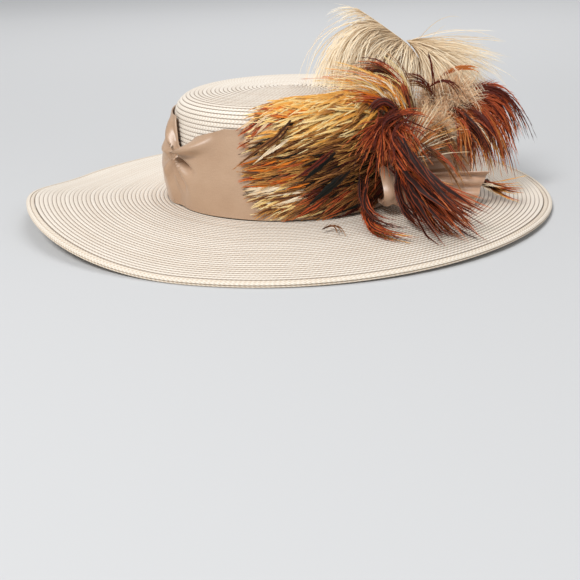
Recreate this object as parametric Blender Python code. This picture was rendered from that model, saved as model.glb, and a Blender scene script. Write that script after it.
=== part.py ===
"""Straw picture hat with a draped satin band, a satin bow and a posy of feathers.

Metres, +Z up. The hat rests on its brim. The origin is on that surface, under the middle of the hat.
-Y is the front, and +X the wearer's left, which is the right side as seen from the front.
"""
import math

import bmesh
import bpy
from mathutils import Vector

# Straw
BRIM_WIDTH = 0.450
BRIM_DEPTH = 0.448
STRAW = 0.002
EDGE_BRAID_WIDTH = 0.007
EDGE_BRAID_THICKNESS = 0.003
HEADLINE_HEIGHT = 0.010
CROWN_WIDTH = 0.202
CROWN_DEPTH = 0.206
CROWN_LEAN = 0.006
CROWN_HEIGHT = 0.0885
SHOULDER_RADIUS = 0.017
TOP_DOME = 0.003

# Satin
SATIN = 0.0012
BAND_HEIGHT = CROWN_HEIGHT * 0.8136
BAND_PUFF = 0.008
RIBBON_WIDTH = 0.030
RIBBON_GATHER = 0.45
LOOP_LENGTH = 0.050
TAIL_LENGTH = 0.078
KNOT_HEIGHT = 0.030
KNOT_WIDTH = 0.024
KNOT_DEPTH = 0.016
KNOT_ANGLE = math.radians(-36)
KNOT_LIFT = 0.027

# Feathers
PAD_THICKNESS = 0.014
PAD_START = math.radians(243)
PAD_END = math.radians(318)
PAD_END_LOW = math.radians(301)
POSY_ANGLE = math.radians(-20)
POSY_HEIGHT = CROWN_HEIGHT * 0.678
TUFT_SIZE = 0.050
CREST_LENGTH = 0.085
SPRAY_LENGTH = 0.135
CASCADE_LENGTH = 0.110
PLUME_LENGTH = 0.125
SIDE_FEATHER_LENGTH = 0.046

# Clearance between pieces that touch
GAP = 0.0003

# The brim's edge above the surface, as a share of EDGE_LIFT, by angle from +X. It rests on three low arcs.
EDGE_LIFT = 0.0163
EDGE_TABLE = (
    # angle, lift
    (2, 0.00),
    (10, 0.00),
    (68, 0.35),
    (144, 0.00),
    (154, 0.00),
    (194, 1.00),
    (250, 0.00),
    (260, 0.00),
    (322, 0.20),
)

# The draped band by angle: height of its top edge as a share of BAND_HEIGHT, and puff as a share of BAND_PUFF.
# A low top edge with no puff is a tack.
BAND_TABLE = (
    # angle, top edge, puff
    (18, 0.98, 0.35),
    (62, 1.00, 0.60),
    (78, 0.66, 0.00),
    (94, 0.98, 0.55),
    (150, 1.00, 0.45),
    (188, 1.00, 1.00),
    (203, 1.00, 0.80),
    (210, 0.64, 0.00),
    (222, 0.84, 0.40),
    (240, 0.97, 0.30),
    (300, 1.00, 0.20),
    (340, 0.98, 0.10),
)

# How far the band stands off, from its bottom edge to its top edge, as a share of its puff there.
BAND_PROFILE = (
    # height, puff
    (0.0, 0.45),
    (0.2, 0.85),
    (0.4, 1.00),
    (0.6, 0.80),
    (0.8, 0.40),
    (1.0, 0.10),
)

# How steeply the brim's slope ends in its edge.
BRIM_DISH = 1.3

# The pad's shape. Pairs are the start and end of an arch, as shares of a half turn.
PAD_LOW = 0.03
PAD_HIGH = 0.96
PAD_FAN = (0.12, 0.92)
PAD_LEAST_FAN = 0.35
PAD_STEP = (0.55, 0.80)
PAD_SWELL_UP = (0.06, 0.94)
PAD_SWELL_ALONG = (0.08, 0.80)
PAD_LEAST_THICKNESS = 0.18
PAD_ON_BAND = 0.35

# The knot from its lower end to its upper end.
KNOT_ROWS = (
    # height share, fullness
    (-0.50, 0.72),
    (-0.38, 0.95),
    (-0.15, 1.00),
    (0.15, 1.00),
    (0.38, 0.95),
    (0.50, 0.72),
)

# Steps of the meshes
SEGMENTS = 96
BAND_SEGMENTS = 120
BRIM_RINGS = 6
SHOULDER_STEPS = 5
DOME_STEPS = 3
WALL_STEPS = 4
CLUMP_SIDES = 14
CLUMP_STEPS = 4
PAD_COLUMNS = 14
PAD_ROWS = 9
TANGENT_STEP = 0.05
MERGE = 0.00001
STRAW_SHARP = 40
SOFT_SHARP = 60


def remove_all():
    """Empty the scene."""
    for item in list(bpy.data.objects):
        bpy.data.objects.remove(item, do_unlink=True)


def make_material(name, colour, roughness):
    """A plain surface of one colour."""
    material = bpy.data.materials.new(name)
    material.use_nodes = True
    shader = material.node_tree.nodes["Principled BSDF"]
    shader.inputs["Base Color"].default_value = (*colour, 1.0)
    shader.inputs["Roughness"].default_value = roughness
    shader.inputs["Metallic"].default_value = 0.0
    return material


def add_object(name, mesh_data, material, sharp_angle=STRAW_SHARP):
    """Turn a bmesh into a named object with its material."""
    bmesh.ops.recalc_face_normals(mesh_data, faces=mesh_data.faces)
    mesh = bpy.data.meshes.new(name)
    mesh_data.to_mesh(mesh)
    mesh_data.free()
    mesh.shade_smooth()
    mesh.set_sharp_from_angle(angle=math.radians(sharp_angle))
    item = bpy.data.objects.new(name, mesh)
    bpy.context.collection.objects.link(item)
    if material:
        item.data.materials.append(material)
    return item


def hide_cutter(item):
    """Mark an object as a cutter, which is no piece of the hat."""
    item.hide_render = True
    item.display_type = "WIRE"
    return item


def cut(item, *cutters):
    """Trim a piece back from its neighbours."""
    for cutter in cutters:
        modifier = item.modifiers.new("Trim " + cutter.name, "BOOLEAN")
        modifier.operation = "DIFFERENCE"
        modifier.solver = "EXACT"
        modifier.object = cutter


def ease(share):
    """A smooth step from 0 to 1."""
    return share * share * (3 - 2 * share)


def round_table(table, angle, column, smooth=True):
    """Read a table of angles in degrees, round and round, at an angle in radians."""
    start = table[0][0]
    degrees = (math.degrees(angle) - start) % 360 + start
    rows = list(table) + [(start + 360,) + tuple(table[0][1:])]
    for low, high in zip(rows, rows[1:]):
        if degrees <= high[0]:
            share = (degrees - low[0]) / (high[0] - low[0])
            if smooth:
                share = ease(share)
            return low[column] + (high[column] - low[column]) * share
    return rows[-1][column]


def line_table(table, place):
    """Read a table of two columns at a place along its first column."""
    for low, high in zip(table, table[1:]):
        if place <= high[0]:
            share = (place - low[0]) / (high[0] - low[0])
            return low[1] + (high[1] - low[1]) * share
    return table[-1][1]


def oval(width, depth, angle, out=0.0):
    """A point on an oval, moved outwards."""
    return Vector(((width / 2 + out) * math.cos(angle), (depth / 2 + out) * math.sin(angle)))


def edge_height(angle):
    """Underside of the brim's edge above the surface."""
    return EDGE_LIFT * round_table(EDGE_TABLE, angle, 1)


def headline(angle):
    """Where the brim's slope starts, just outside the crown."""
    return oval(CROWN_WIDTH, CROWN_DEPTH, angle, STRAW)


def brim_edge(angle):
    """Where the brim meets the edge braid."""
    return oval(BRIM_WIDTH, BRIM_DEPTH, angle, -EDGE_BRAID_WIDTH - GAP)


def brim_top(angle, share):
    """Top of the brim, from the headline at share 0 to the edge braid at share 1."""
    flat = headline(angle).lerp(brim_edge(angle), share)
    rim = edge_height(angle) + EDGE_BRAID_THICKNESS
    rise = HEADLINE_HEIGHT + (rim - HEADLINE_HEIGHT) * share ** BRIM_DISH
    return Vector((flat.x, flat.y, rise))


def loft(rings, wrap_rings=False):
    """Join rings of equally many points with quads, each ring closed."""
    mesh_data = bmesh.new()
    rows = [[mesh_data.verts.new(point) for point in ring] for ring in rings]
    pairs = list(zip(rows, rows[1:]))
    if wrap_rings:
        pairs.append((rows[-1], rows[0]))
    count = len(rows[0])
    for low, high in pairs:
        for index in range(count):
            after = (index + 1) % count
            mesh_data.faces.new((low[index], low[after], high[after], high[index]))
    if not wrap_rings:
        mesh_data.faces.new(rows[0][::-1])
        mesh_data.faces.new(rows[-1])
    return mesh_data


def angles(count):
    """Equal steps round the hat."""
    return [2 * math.pi * index / count for index in range(count)]


def build_brim(material):
    """A thin sloping ring with waves, made from its top and its underside."""
    steps = [index / BRIM_RINGS for index in range(BRIM_RINGS + 1)]
    inner = [oval(CROWN_WIDTH, CROWN_DEPTH, angle, -STRAW) for angle in angles(SEGMENTS)]
    rings = [[Vector((p.x, p.y, HEADLINE_HEIGHT)) for p in inner]]
    rings += [[brim_top(angle, step) for angle in angles(SEGMENTS)] for step in steps]
    under = [[point - Vector((0, 0, STRAW)) for point in ring] for ring in reversed(rings)]
    return add_object("brim", loft(rings + under, wrap_rings=True), material)


def build_edge_braid(material):
    """The doubled last row, flat underneath where it rests."""
    rings = []
    for out, top in ((-EDGE_BRAID_WIDTH, 1), (0, 1), (0, 0), (-EDGE_BRAID_WIDTH, 0)):
        ring = []
        for angle in angles(SEGMENTS):
            flat = oval(BRIM_WIDTH, BRIM_DEPTH, angle, out)
            ring.append(Vector((flat.x, flat.y, edge_height(angle) + top * EDGE_BRAID_THICKNESS)))
        rings.append(ring)
    return add_object("edge_braid", loft(rings, wrap_rings=True), material)


def crown_lean(height):
    """How far the crown's wall has moved in at a height above its base."""
    wall = CROWN_HEIGHT - TOP_DOME - SHOULDER_RADIUS
    return CROWN_LEAN * min(max(height / wall, 0), 1)


def crown_profile(inset):
    """Half of the crown's outline as (distance from the axis, height above its base), offset inwards."""
    half = CROWN_WIDTH / 2
    wall = CROWN_HEIGHT - TOP_DOME - SHOULDER_RADIUS
    points = []
    for step in range(WALL_STEPS):
        height = wall * step / WALL_STEPS
        points.append((half - crown_lean(height) - inset, height))
    bend = SHOULDER_RADIUS - inset
    centre = half - CROWN_LEAN - SHOULDER_RADIUS
    for step in range(SHOULDER_STEPS + 1):
        turn = math.pi / 2 * step / SHOULDER_STEPS
        points.append((centre + bend * math.cos(turn), wall + bend * math.sin(turn)))
    for step in range(1, DOME_STEPS + 1):
        share = 1 - step / DOME_STEPS
        points.append((centre * share, wall + bend + TOP_DOME * (1 - share * share)))
    return points


def spin_oval(points, base):
    """Spin an outline in the XZ plane round the axis, then stretch it to the crown's depth."""
    mesh_data = bmesh.new()
    verts = [mesh_data.verts.new((radius, 0, base + height)) for radius, height in points]
    edges = [mesh_data.edges.new(pair) for pair in zip(verts, verts[1:])]
    if points[0][0] > 0 and points[-1][0] > 0:
        edges.append(mesh_data.edges.new((verts[-1], verts[0])))
    bmesh.ops.spin(
        mesh_data, geom=verts + edges, cent=(0, 0, 0), axis=(0, 0, 1),
        angle=2 * math.pi, steps=SEGMENTS, use_merge=True,
    )
    bmesh.ops.remove_doubles(mesh_data, verts=mesh_data.verts, dist=MERGE)
    bmesh.ops.scale(mesh_data, vec=(1, CROWN_DEPTH / CROWN_WIDTH, 1), verts=mesh_data.verts)
    return mesh_data


def build_crown(material):
    """An open shell: the outer outline, then the inner one back down."""
    outline = list(reversed(crown_profile(0))) + crown_profile(STRAW)
    return add_object("crown", spin_oval(outline, HEADLINE_HEIGHT + GAP), material)


def wall_point(angle, height, out):
    """A point off the crown's wall at a height above the brim, moved outwards."""
    flat = oval(CROWN_WIDTH, CROWN_DEPTH, angle, out - crown_lean(height))
    return Vector((flat.x, flat.y, HEADLINE_HEIGHT + GAP + height))


def band_puff(angle, share):
    """How far the inside of the satin stands off the straw."""
    return BAND_PUFF * round_table(BAND_TABLE, angle, 2) * line_table(BAND_PROFILE, share)


def band_height(angle, share):
    """Height above the brim of a place on the band, from its bottom edge at 0 to its top edge at 1."""
    return GAP + BAND_HEIGHT * round_table(BAND_TABLE, angle, 1, smooth=False) * share


def band_ring(share, out):
    """One ring of the band at a share of its height."""
    ring = []
    for angle in angles(BAND_SEGMENTS):
        ring.append(wall_point(angle, band_height(angle, share), GAP + band_puff(angle, share) + out))
    return ring


def build_band(material):
    """A draped wall of satin with its own thickness."""
    shares = [row[0] for row in BAND_PROFILE]
    outer = [band_ring(share, SATIN) for share in shares]
    inner = [band_ring(share, 0) for share in reversed(shares)]
    return add_object("satin_band", loft(outer + inner, wrap_rings=True), material)


def build_body_cutter():
    """The crown and band as one filled body, a clearance larger, that feathers are trimmed against."""
    shares = [row[0] for row in BAND_PROFILE]
    rings = [[Vector((p.x, p.y, p.z - CROWN_LEAN)) for p in band_ring(0, SATIN + GAP)]]
    rings += [band_ring(share, SATIN + GAP) for share in shares]
    top = []
    for point in band_ring(1, SATIN + GAP):
        top.append(Vector((point.x, point.y, HEADLINE_HEIGHT + CROWN_HEIGHT - SHOULDER_RADIUS)))
    rings.append(top)
    band = hide_cutter(add_object("cutter_band", loft(rings), None))
    outline = list(reversed(crown_profile(-2 * GAP)))
    outline.append((0, outline[-1][1]))
    crown = hide_cutter(add_object("cutter_crown", spin_oval(outline, HEADLINE_HEIGHT), None))
    return band, crown


def build_brim_cutter():
    """The space from the brim's top down, a clearance larger."""
    steps = [index / BRIM_RINGS for index in range(BRIM_RINGS + 1)]
    middle = [Vector((p.x / 2, p.y / 2, HEADLINE_HEIGHT + GAP)) for p in map(headline, angles(SEGMENTS))]
    top = [[brim_top(angle, step) + Vector((0, 0, GAP)) for angle in angles(SEGMENTS)] for step in steps]
    low = [[Vector((p.x, p.y, -HEADLINE_HEIGHT)) for p in ring] for ring in (top[-1], middle)]
    return hide_cutter(add_object("cutter_brim", loft([middle] + top + low, wrap_rings=True), None))


def posy_point(out, along, up):
    """A point in the posy's own directions: out from the crown, along it towards the back, and up."""
    root = wall_point(POSY_ANGLE, POSY_HEIGHT, 0)
    outward = Vector((math.cos(POSY_ANGLE), math.sin(POSY_ANGLE), 0))
    sideways = Vector((-math.sin(POSY_ANGLE), math.cos(POSY_ANGLE), 0))
    return root + outward * out + sideways * along + Vector((0, 0, up))


def curve_point(points, place):
    """A point on a smooth curve through a list of vectors, at a place from 0 to the last index."""
    index = min(int(place), len(points) - 2)
    share = place - index
    p1, p2 = points[index], points[index + 1]
    p0 = points[index - 1] if index > 0 else p1 * 2 - p2
    p3 = points[index + 2] if index + 2 < len(points) else p2 * 2 - p1
    return 0.5 * (
        2 * p1 + (p2 - p0) * share + (2 * p0 - 5 * p1 + 4 * p2 - p3) * share ** 2
        + (3 * p1 - p0 - 3 * p2 + p3) * share ** 3
    )


def clump_rings(size, rows, side, grow):
    """Oval rings along a bent centre line. side is the way that the clump's width points."""
    centres = [posy_point(*(size * share for share in row[:3])) for row in rows]
    sizes = [Vector((size * row[3] / 2, size * row[4] / 2)) for row in rows]
    steps = (len(rows) - 1) * CLUMP_STEPS
    rings = []
    for step in range(steps + 1):
        place = step / CLUMP_STEPS
        centre = curve_point(centres, place)
        before = curve_point(centres, max(place - TANGENT_STEP, 0))
        after = curve_point(centres, min(place + TANGENT_STEP, len(rows) - 1))
        run = (after - before).normalized()
        if grow and step in (0, steps):
            centre = centre + run * (grow if step else -grow)
        across = (side - run * side.dot(run)).normalized()
        normal = across.cross(run).normalized()
        half = curve_point(sizes, place) + Vector((grow, grow))
        ring = []
        for angle in angles(CLUMP_SIDES):
            ring.append(centre + across * half.x * math.cos(angle) + normal * half.y * math.sin(angle))
        rings.append(ring)
    return rings


def build_clump(name, size, rows, side, material):
    """A lofted clump of feathers and the slightly larger cutter that trims its neighbours."""
    piece = add_object(name, loft(clump_rings(size, rows, side, 0)), material, SOFT_SHARP)
    cutter = hide_cutter(add_object("cutter_" + name, loft(clump_rings(size, rows, side, GAP)), None))
    return piece, cutter


def arch(share, ends):
    """Part of a half wave, from its place at the first end to its place at the second."""
    return math.sin(math.pi * (ends[0] + (ends[1] - ends[0]) * share))


def pad_point(angle, run, out):
    """A point off the crown at a run up its outline, over the shoulder too."""
    wall = CROWN_HEIGHT - TOP_DOME - SHOULDER_RADIUS
    if run < wall:
        return wall_point(angle, run, out)
    turn = (run - wall) / SHOULDER_RADIUS
    centre = wall_point(angle, wall, -SHOULDER_RADIUS)
    outward = Vector((math.cos(angle) * math.cos(turn), math.sin(angle) * math.cos(turn), math.sin(turn)))
    return centre + outward * (SHOULDER_RADIUS + out)


def build_pad(material):
    """The flat pad, wrapped over the band from the brim to just over the crown's shoulder."""
    reach = CROWN_HEIGHT - TOP_DOME - SHOULDER_RADIUS + SHOULDER_RADIUS * math.pi / 2
    grids = []
    for grown in (1, 0):
        grid = []
        for row in range(PAD_ROWS + 1):
            share = row / PAD_ROWS
            run = (PAD_LOW + (PAD_HIGH - PAD_LOW) * share) * reach
            fan = PAD_LEAST_FAN + (1 - PAD_LEAST_FAN) * arch(share, PAD_FAN)
            step = ease(min(max((share - PAD_STEP[0]) / (PAD_STEP[1] - PAD_STEP[0]), 0), 1))
            start = PAD_END_LOW + (PAD_START - PAD_END_LOW) * fan
            end = PAD_END_LOW + (PAD_END - PAD_END_LOW) * step
            line = []
            for column in range(PAD_COLUMNS + 1):
                place = column / PAD_COLUMNS
                swell = arch(share, PAD_SWELL_UP) * arch(place, PAD_SWELL_ALONG)
                thick = PAD_THICKNESS * (PAD_LEAST_THICKNESS + (1 - PAD_LEAST_THICKNESS) * swell)
                out = GAP * 2 + SATIN + BAND_PUFF * PAD_ON_BAND + grown * thick
                line.append(pad_point(start + (end - start) * place, run, out))
            grid.append(line)
        grids.append(grid)
    outer, inner = grids
    rings = [line + inner[index][::-1] for index, line in enumerate(outer)]
    return add_object("hackle_pad", loft(rings), material, SOFT_SHARP)


def build_ribbon(name, path, material, tail=False):
    """A ribbon on edge along a path, gathered at both ends, or a tail that is gathered at its first."""
    steps = (len(path) - 1) * CLUMP_STEPS
    rings = []
    for step in range(steps + 1):
        place = step / CLUMP_STEPS
        centre = curve_point(path, place)
        before = curve_point(path, max(place - TANGENT_STEP, 0))
        after = curve_point(path, min(place + TANGENT_STEP, len(path) - 1))
        run = (after - before).normalized()
        normal = run.cross(Vector((0, 0, 1))).normalized()
        rise = normal.cross(run).normalized()
        share = step / steps
        spread = math.sin(math.pi / 2 * share) if tail else math.sin(math.pi * share)
        half = RIBBON_WIDTH / 2 * (RIBBON_GATHER + (1 - RIBBON_GATHER) * spread)
        ring = []
        for side, depth in ((-1, -1), (1, -1), (1, 1), (-1, 1)):
            ring.append(centre + rise * half * side + normal * SATIN / 2 * depth)
        rings.append(ring)
    return add_object(name, loft(rings), material)


def knot_point(out, along, up):
    """A point in the knot's own directions, from the band behind its middle."""
    root = wall_point(KNOT_ANGLE, KNOT_LIFT, 0)
    outward = Vector((math.cos(KNOT_ANGLE), math.sin(KNOT_ANGLE), 0))
    sideways = Vector((-math.sin(KNOT_ANGLE), math.cos(KNOT_ANGLE), 0))
    return root + outward * out + sideways * along + Vector((0, 0, up))


def build_knot(material, grow=0.0):
    """The satin wrapped round the middle of the bow, narrower at its waist."""
    rings = []
    name = "cutter_knot" if grow else "bow_knot"
    for share, fullness in KNOT_ROWS:
        ring = []
        for angle in angles(CLUMP_SIDES):
            depth = (KNOT_DEPTH / 2 * fullness + grow) * math.sin(angle)
            width = (KNOT_WIDTH / 2 * fullness + grow) * math.cos(angle)
            rise = share * (KNOT_HEIGHT + 2 * grow)
            ring.append(knot_point(KNOT_DEPTH / 2 + depth, width, rise))
        rings.append(ring)
    item = add_object(name, loft(rings), material, SOFT_SHARP)
    return hide_cutter(item) if grow else item


# Each clump's centre line from the posy's root: out, along and up, then width and thickness there,
# all as shares of the clump's own length.
TUFT_ROWS = (
    (0.38, 0.20, -0.26, 0.50, 0.40),
    (0.44, 0.20, -0.14, 0.90, 0.86),
    (0.50, 0.20, 0.10, 1.10, 1.06),
    (0.52, 0.20, 0.34, 0.86, 0.80),
    (0.52, 0.20, 0.46, 0.44, 0.40),
)
SPRAY_ROWS = (
    (0.19, -0.12, 0.07, 0.16, 0.09),
    (0.25, -0.32, 0.10, 0.34, 0.15),
    (0.31, -0.56, -0.02, 0.50, 0.17),
    (0.37, -0.76, -0.24, 0.54, 0.15),
    (0.41, -0.92, -0.42, 0.26, 0.05),
)
CASCADE_ROWS = (
    (0.38, 0.06, 0.09, 0.16, 0.12),
    (0.54, 0.10, 0.20, 0.32, 0.18),
    (0.74, 0.16, 0.12, 0.42, 0.20),
    (0.85, 0.16, -0.10, 0.40, 0.18),
    (0.82, 0.08, -0.40, 0.28, 0.08),
)
CREST_ROWS = (
    (0.12, -0.12, 0.21, 0.14, 0.12),
    (-0.02, -0.28, 0.42, 0.28, 0.16),
    (-0.24, -0.36, 0.47, 0.38, 0.16),
    (-0.48, -0.41, 0.45, 0.32, 0.14),
    (-0.70, -0.44, 0.42, 0.14, 0.06),
)
PLUME_LEFT_ROWS = (
    (0.11, 0.13, 0.12, 0.07, 0.08),
    (0.10, 0.22, 0.32, 0.10, 0.14),
    (0.00, 0.23, 0.47, 0.14, 0.24),
    (-0.22, 0.20, 0.52, 0.16, 0.34),
    (-0.42, 0.13, 0.47, 0.15, 0.36),
    (-0.56, 0.07, 0.36, 0.05, 0.12),
)
PLUME_RIGHT_ROWS = (
    (0.22, 0.20, 0.14, 0.06, 0.08),
    (0.20, 0.33, 0.34, 0.09, 0.12),
    (0.29, 0.38, 0.45, 0.12, 0.18),
    (0.40, 0.42, 0.38, 0.13, 0.22),
    (0.49, 0.46, 0.20, 0.10, 0.18),
    (0.53, 0.48, 0.04, 0.05, 0.08),
)
# The side feather lies on the brim, so its heights start from there.
BRIM_DROP = POSY_HEIGHT / SIDE_FEATHER_LENGTH
SIDE_FEATHER_ROWS = (
    (1.68, 0.04, 0.084 - BRIM_DROP, 0.14, 0.08),
    (1.86, 0.16, 0.054 - BRIM_DROP, 0.34, 0.10),
    (2.12, 0.34, -0.016 - BRIM_DROP, 0.26, 0.08),
    (2.34, 0.46, -0.096 - BRIM_DROP, 0.08, 0.05),
)

# The bow's ribbons from the knot's own middle: out, along and up, as shares of the ribbon's length.
FRONT_LOOP_PATH = (
    (0.12, -0.14, -0.06),
    (0.14, -0.50, -0.14),
    (0.30, -0.74, -0.18),
    (0.50, -0.58, -0.16),
    (0.26, -0.14, -0.08),
)
SIDE_LOOP_PATH = (
    (0.12, 0.12, 0.04),
    (0.36, 0.62, 0.05),
    (0.76, 0.98, 0.05),
    (1.00, 1.02, 0.04),
    (0.96, 0.78, 0.03),
    (0.66, 0.40, 0.03),
    (0.24, 0.12, 0.03),
)
TAIL_PATH = (
    (0.14, 0.00, -0.06),
    (0.44, 0.10, -0.14),
    (0.70, 0.28, -0.17),
    (0.95, 0.44, -0.17),
)


def main():
    """Build every piece of the hat."""
    remove_all()
    straw = make_material("straw", (0.80, 0.70, 0.58), 0.55)
    braid = make_material("straw_edge", (0.76, 0.66, 0.53), 0.55)
    satin = make_material("satin", (0.62, 0.46, 0.34), 0.35)
    gold = make_material("golden_hackle", (0.72, 0.42, 0.13), 0.5)
    rust = make_material("rust_hackle", (0.38, 0.12, 0.05), 0.5)
    flue = make_material("champagne_flue", (0.80, 0.68, 0.52), 0.7)

    build_brim(straw)
    build_edge_braid(braid)
    build_crown(straw)
    build_band(satin)

    band_cutter, crown_cutter = build_body_cutter()
    brim_cutter = build_brim_cutter()
    body = (band_cutter, crown_cutter, brim_cutter)

    knot = build_knot(satin)
    cut(knot, *body)
    knot_cutter = build_knot(None, GAP)
    front_path = [knot_point(*(LOOP_LENGTH * share for share in row)) for row in FRONT_LOOP_PATH]
    front_loop = build_ribbon("bow_loop_front", front_path, satin)
    cut(front_loop, *body, knot_cutter)
    side_path = [knot_point(*(LOOP_LENGTH * share for share in row)) for row in SIDE_LOOP_PATH]
    side_loop = build_ribbon("bow_loop_side", side_path, satin)
    cut(side_loop, *body, knot_cutter)
    tail_path = [knot_point(*(TAIL_LENGTH * share for share in row)) for row in TAIL_PATH]
    tail = build_ribbon("bow_tail", tail_path, satin, tail=True)
    cut(tail, *body, knot_cutter)

    outward = Vector((math.cos(POSY_ANGLE), math.sin(POSY_ANGLE), 0))
    sideways = Vector((-math.sin(POSY_ANGLE), math.cos(POSY_ANGLE), 0))
    backwards = Vector((0, 1, 0))
    clumps = (
        # name, length, centre line, way of its width, material, clumps it is trimmed against
        ("flue_tuft", TUFT_SIZE, TUFT_ROWS, sideways, flue, ()),
        ("hackle_spray", SPRAY_LENGTH, SPRAY_ROWS, outward, rust, ("flue_tuft",)),
        ("hackle_cascade", CASCADE_LENGTH, CASCADE_ROWS, sideways, rust, ("flue_tuft",)),
        ("hackle_crest", CREST_LENGTH, CREST_ROWS, sideways, gold, ("flue_tuft", "hackle_spray")),
        ("plume_left", PLUME_LENGTH, PLUME_LEFT_ROWS, backwards, flue, ("flue_tuft", "hackle_crest")),
        ("plume_right", PLUME_LENGTH, PLUME_RIGHT_ROWS, backwards, flue,
         ("flue_tuft", "hackle_cascade", "plume_left")),
        ("side_feather", SIDE_FEATHER_LENGTH, SIDE_FEATHER_ROWS, sideways, rust, ("hackle_cascade",)),
    )
    cutters = {}
    for name, length, rows, side, material, neighbours in clumps:
        piece, cutters[name] = build_clump(name, length, rows, side, material)
        cut(piece, *body, knot_cutter, *(cutters[neighbour] for neighbour in neighbours))

    cut(side_loop, cutters["flue_tuft"])
    pad = build_pad(gold)
    cut(pad, *body, knot_cutter, cutters["hackle_spray"], cutters["hackle_crest"])


main()
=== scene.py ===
"""A straw picture hat with a draped satin band, a satin bow and a posy of feathers."""
import math
import random

import bpy
from mathutils import Matrix, Vector, noise


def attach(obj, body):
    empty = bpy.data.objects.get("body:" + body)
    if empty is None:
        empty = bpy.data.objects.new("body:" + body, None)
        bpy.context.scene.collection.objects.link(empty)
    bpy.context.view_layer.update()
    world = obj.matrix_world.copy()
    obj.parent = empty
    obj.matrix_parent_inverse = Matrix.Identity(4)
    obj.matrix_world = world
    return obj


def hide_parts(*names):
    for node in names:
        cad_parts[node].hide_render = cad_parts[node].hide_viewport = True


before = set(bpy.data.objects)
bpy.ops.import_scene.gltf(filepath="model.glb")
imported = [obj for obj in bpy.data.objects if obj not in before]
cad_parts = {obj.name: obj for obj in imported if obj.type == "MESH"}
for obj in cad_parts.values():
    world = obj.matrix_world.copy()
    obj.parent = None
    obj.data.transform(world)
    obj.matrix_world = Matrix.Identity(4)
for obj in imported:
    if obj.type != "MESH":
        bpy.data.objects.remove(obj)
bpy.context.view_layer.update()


# The brim. One long spiral of plaited straw braid, each row lapped over the next one out and stitched
# down, so that both sides are ridged. It dishes gently and waves at its edge.
BRIM_WIDTH, BRIM_DEPTH = 0.450, 0.448
CROWN_WIDTH, CROWN_DEPTH = 0.202, 0.206
STRAW = 0.002
GAP = 0.0003
HEADLINE_HEIGHT = 0.010
EDGE_BRAID_WIDTH, EDGE_BRAID_THICKNESS = 0.007, 0.003
BRIM_DISH = 1.3
EDGE_LIFT = 0.0163
EDGE_TABLE = (
    # angle, lift
    (2, 0.00),
    (10, 0.00),
    (68, 0.35),
    (144, 0.00),
    (154, 0.00),
    (194, 1.00),
    (250, 0.00),
    (260, 0.00),
    (322, 0.20),
)
BRIM_ROWS = 33
LAP_HEIGHT = 0.0007
ROW_TOP = (
    # place across a row, height
    (0.00, 0.00),
    (0.22, 0.55),
    (0.60, 0.95),
    (0.90, 1.00),
    (0.985, 0.75),
)
ROW_UNDER = (
    # place across a row, height
    (0.00, 0.20),
    (0.06, 0.95),
    (0.50, 0.80),
    (0.97, 0.15),
)
PLAIT = 0.0034
STEPS_ROUND = 240
WELD = 0.000002
BRIM_START = 0.983  # distance at which the spun brim starts; 1 is the headline and 2 the edge braid
BRIM_ROW_RADIUS, BRIM_ROW_WIDTH = 0.103, 0.0035


def ease(share):
    """A smooth step from 0 to 1, held at its ends."""
    share = min(max(share, 0), 1)
    return share * share * (3 - 2 * share)


def round_table(table, angle, column, smooth=True):
    """A column of a table of angles in degrees, read round and round at an angle in radians."""
    start = table[0][0]
    degrees = (math.degrees(angle) - start) % 360 + start
    rows = list(table) + [(start + 360,) + tuple(table[0][1:])]
    for low, high in zip(rows, rows[1:]):
        if degrees <= high[0]:
            share = (degrees - low[0]) / (high[0] - low[0])
            if smooth:
                share = ease(share)
            return low[column] + (high[column] - low[column]) * share
    return rows[-1][column]


def oval(width, depth, angle, out=0.0):
    """A point on an oval, moved outwards."""
    return Vector(((width / 2 + out) * math.cos(angle), (depth / 2 + out) * math.sin(angle)))


def edge_height(angle):
    """Underside of the brim's edge above the surface."""
    return EDGE_LIFT * round_table(EDGE_TABLE, angle, 1)


def brim_top(angle, share):
    """Top of the brim, from the headline at share 0 to the edge braid at share 1."""
    inner = oval(CROWN_WIDTH, CROWN_DEPTH, angle, STRAW)
    outer = oval(BRIM_WIDTH, BRIM_DEPTH, angle, -EDGE_BRAID_WIDTH - GAP)
    flat = inner.lerp(outer, share)
    rim = edge_height(angle) + EDGE_BRAID_THICKNESS
    rise = HEADLINE_HEIGHT + (rim - HEADLINE_HEIGHT) * max(share, 0) ** BRIM_DISH
    return Vector((flat.x, flat.y, rise))


def add_piece(name, data):
    """A piece in the scene from its mesh or other data."""
    piece = bpy.data.objects.new(name, data)
    bpy.context.collection.objects.link(piece)
    return piece


def select_only(piece):
    """Leaves one piece selected and active."""
    bpy.ops.object.select_all(action="DESELECT")
    piece.select_set(True)
    bpy.context.view_layer.objects.active = piece


def spin_outline(name, outline, closed=True):
    """Spins an outline of (distance, height) points round the hat's axis and closes it where its ends meet and at its
    poles.
    """
    mesh = bpy.data.meshes.new(name)
    links = [(index, index + 1) for index in range(len(outline) - 1)]
    if closed:
        links.append((len(outline) - 1, 0))
    mesh.from_pydata([(distance, 0, height) for distance, height in outline], links, [])
    piece = add_piece(name, mesh)
    select_only(piece)
    bpy.ops.object.mode_set(mode="EDIT")
    bpy.ops.mesh.select_all(action="SELECT")
    bpy.ops.mesh.spin(steps=STEPS_ROUND, angle=math.tau, use_auto_merge=True, center=(0, 0, 0), axis=(0, 0, 1))
    bpy.ops.mesh.select_all(action="SELECT")
    bpy.ops.mesh.remove_doubles(threshold=WELD)
    bpy.ops.mesh.normals_make_consistent(inside=False)
    bpy.ops.object.mode_set(mode="OBJECT")
    return piece


def turn_of(point):
    """Angle of a point round the hat's axis."""
    return math.atan2(point.y, point.x)


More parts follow.
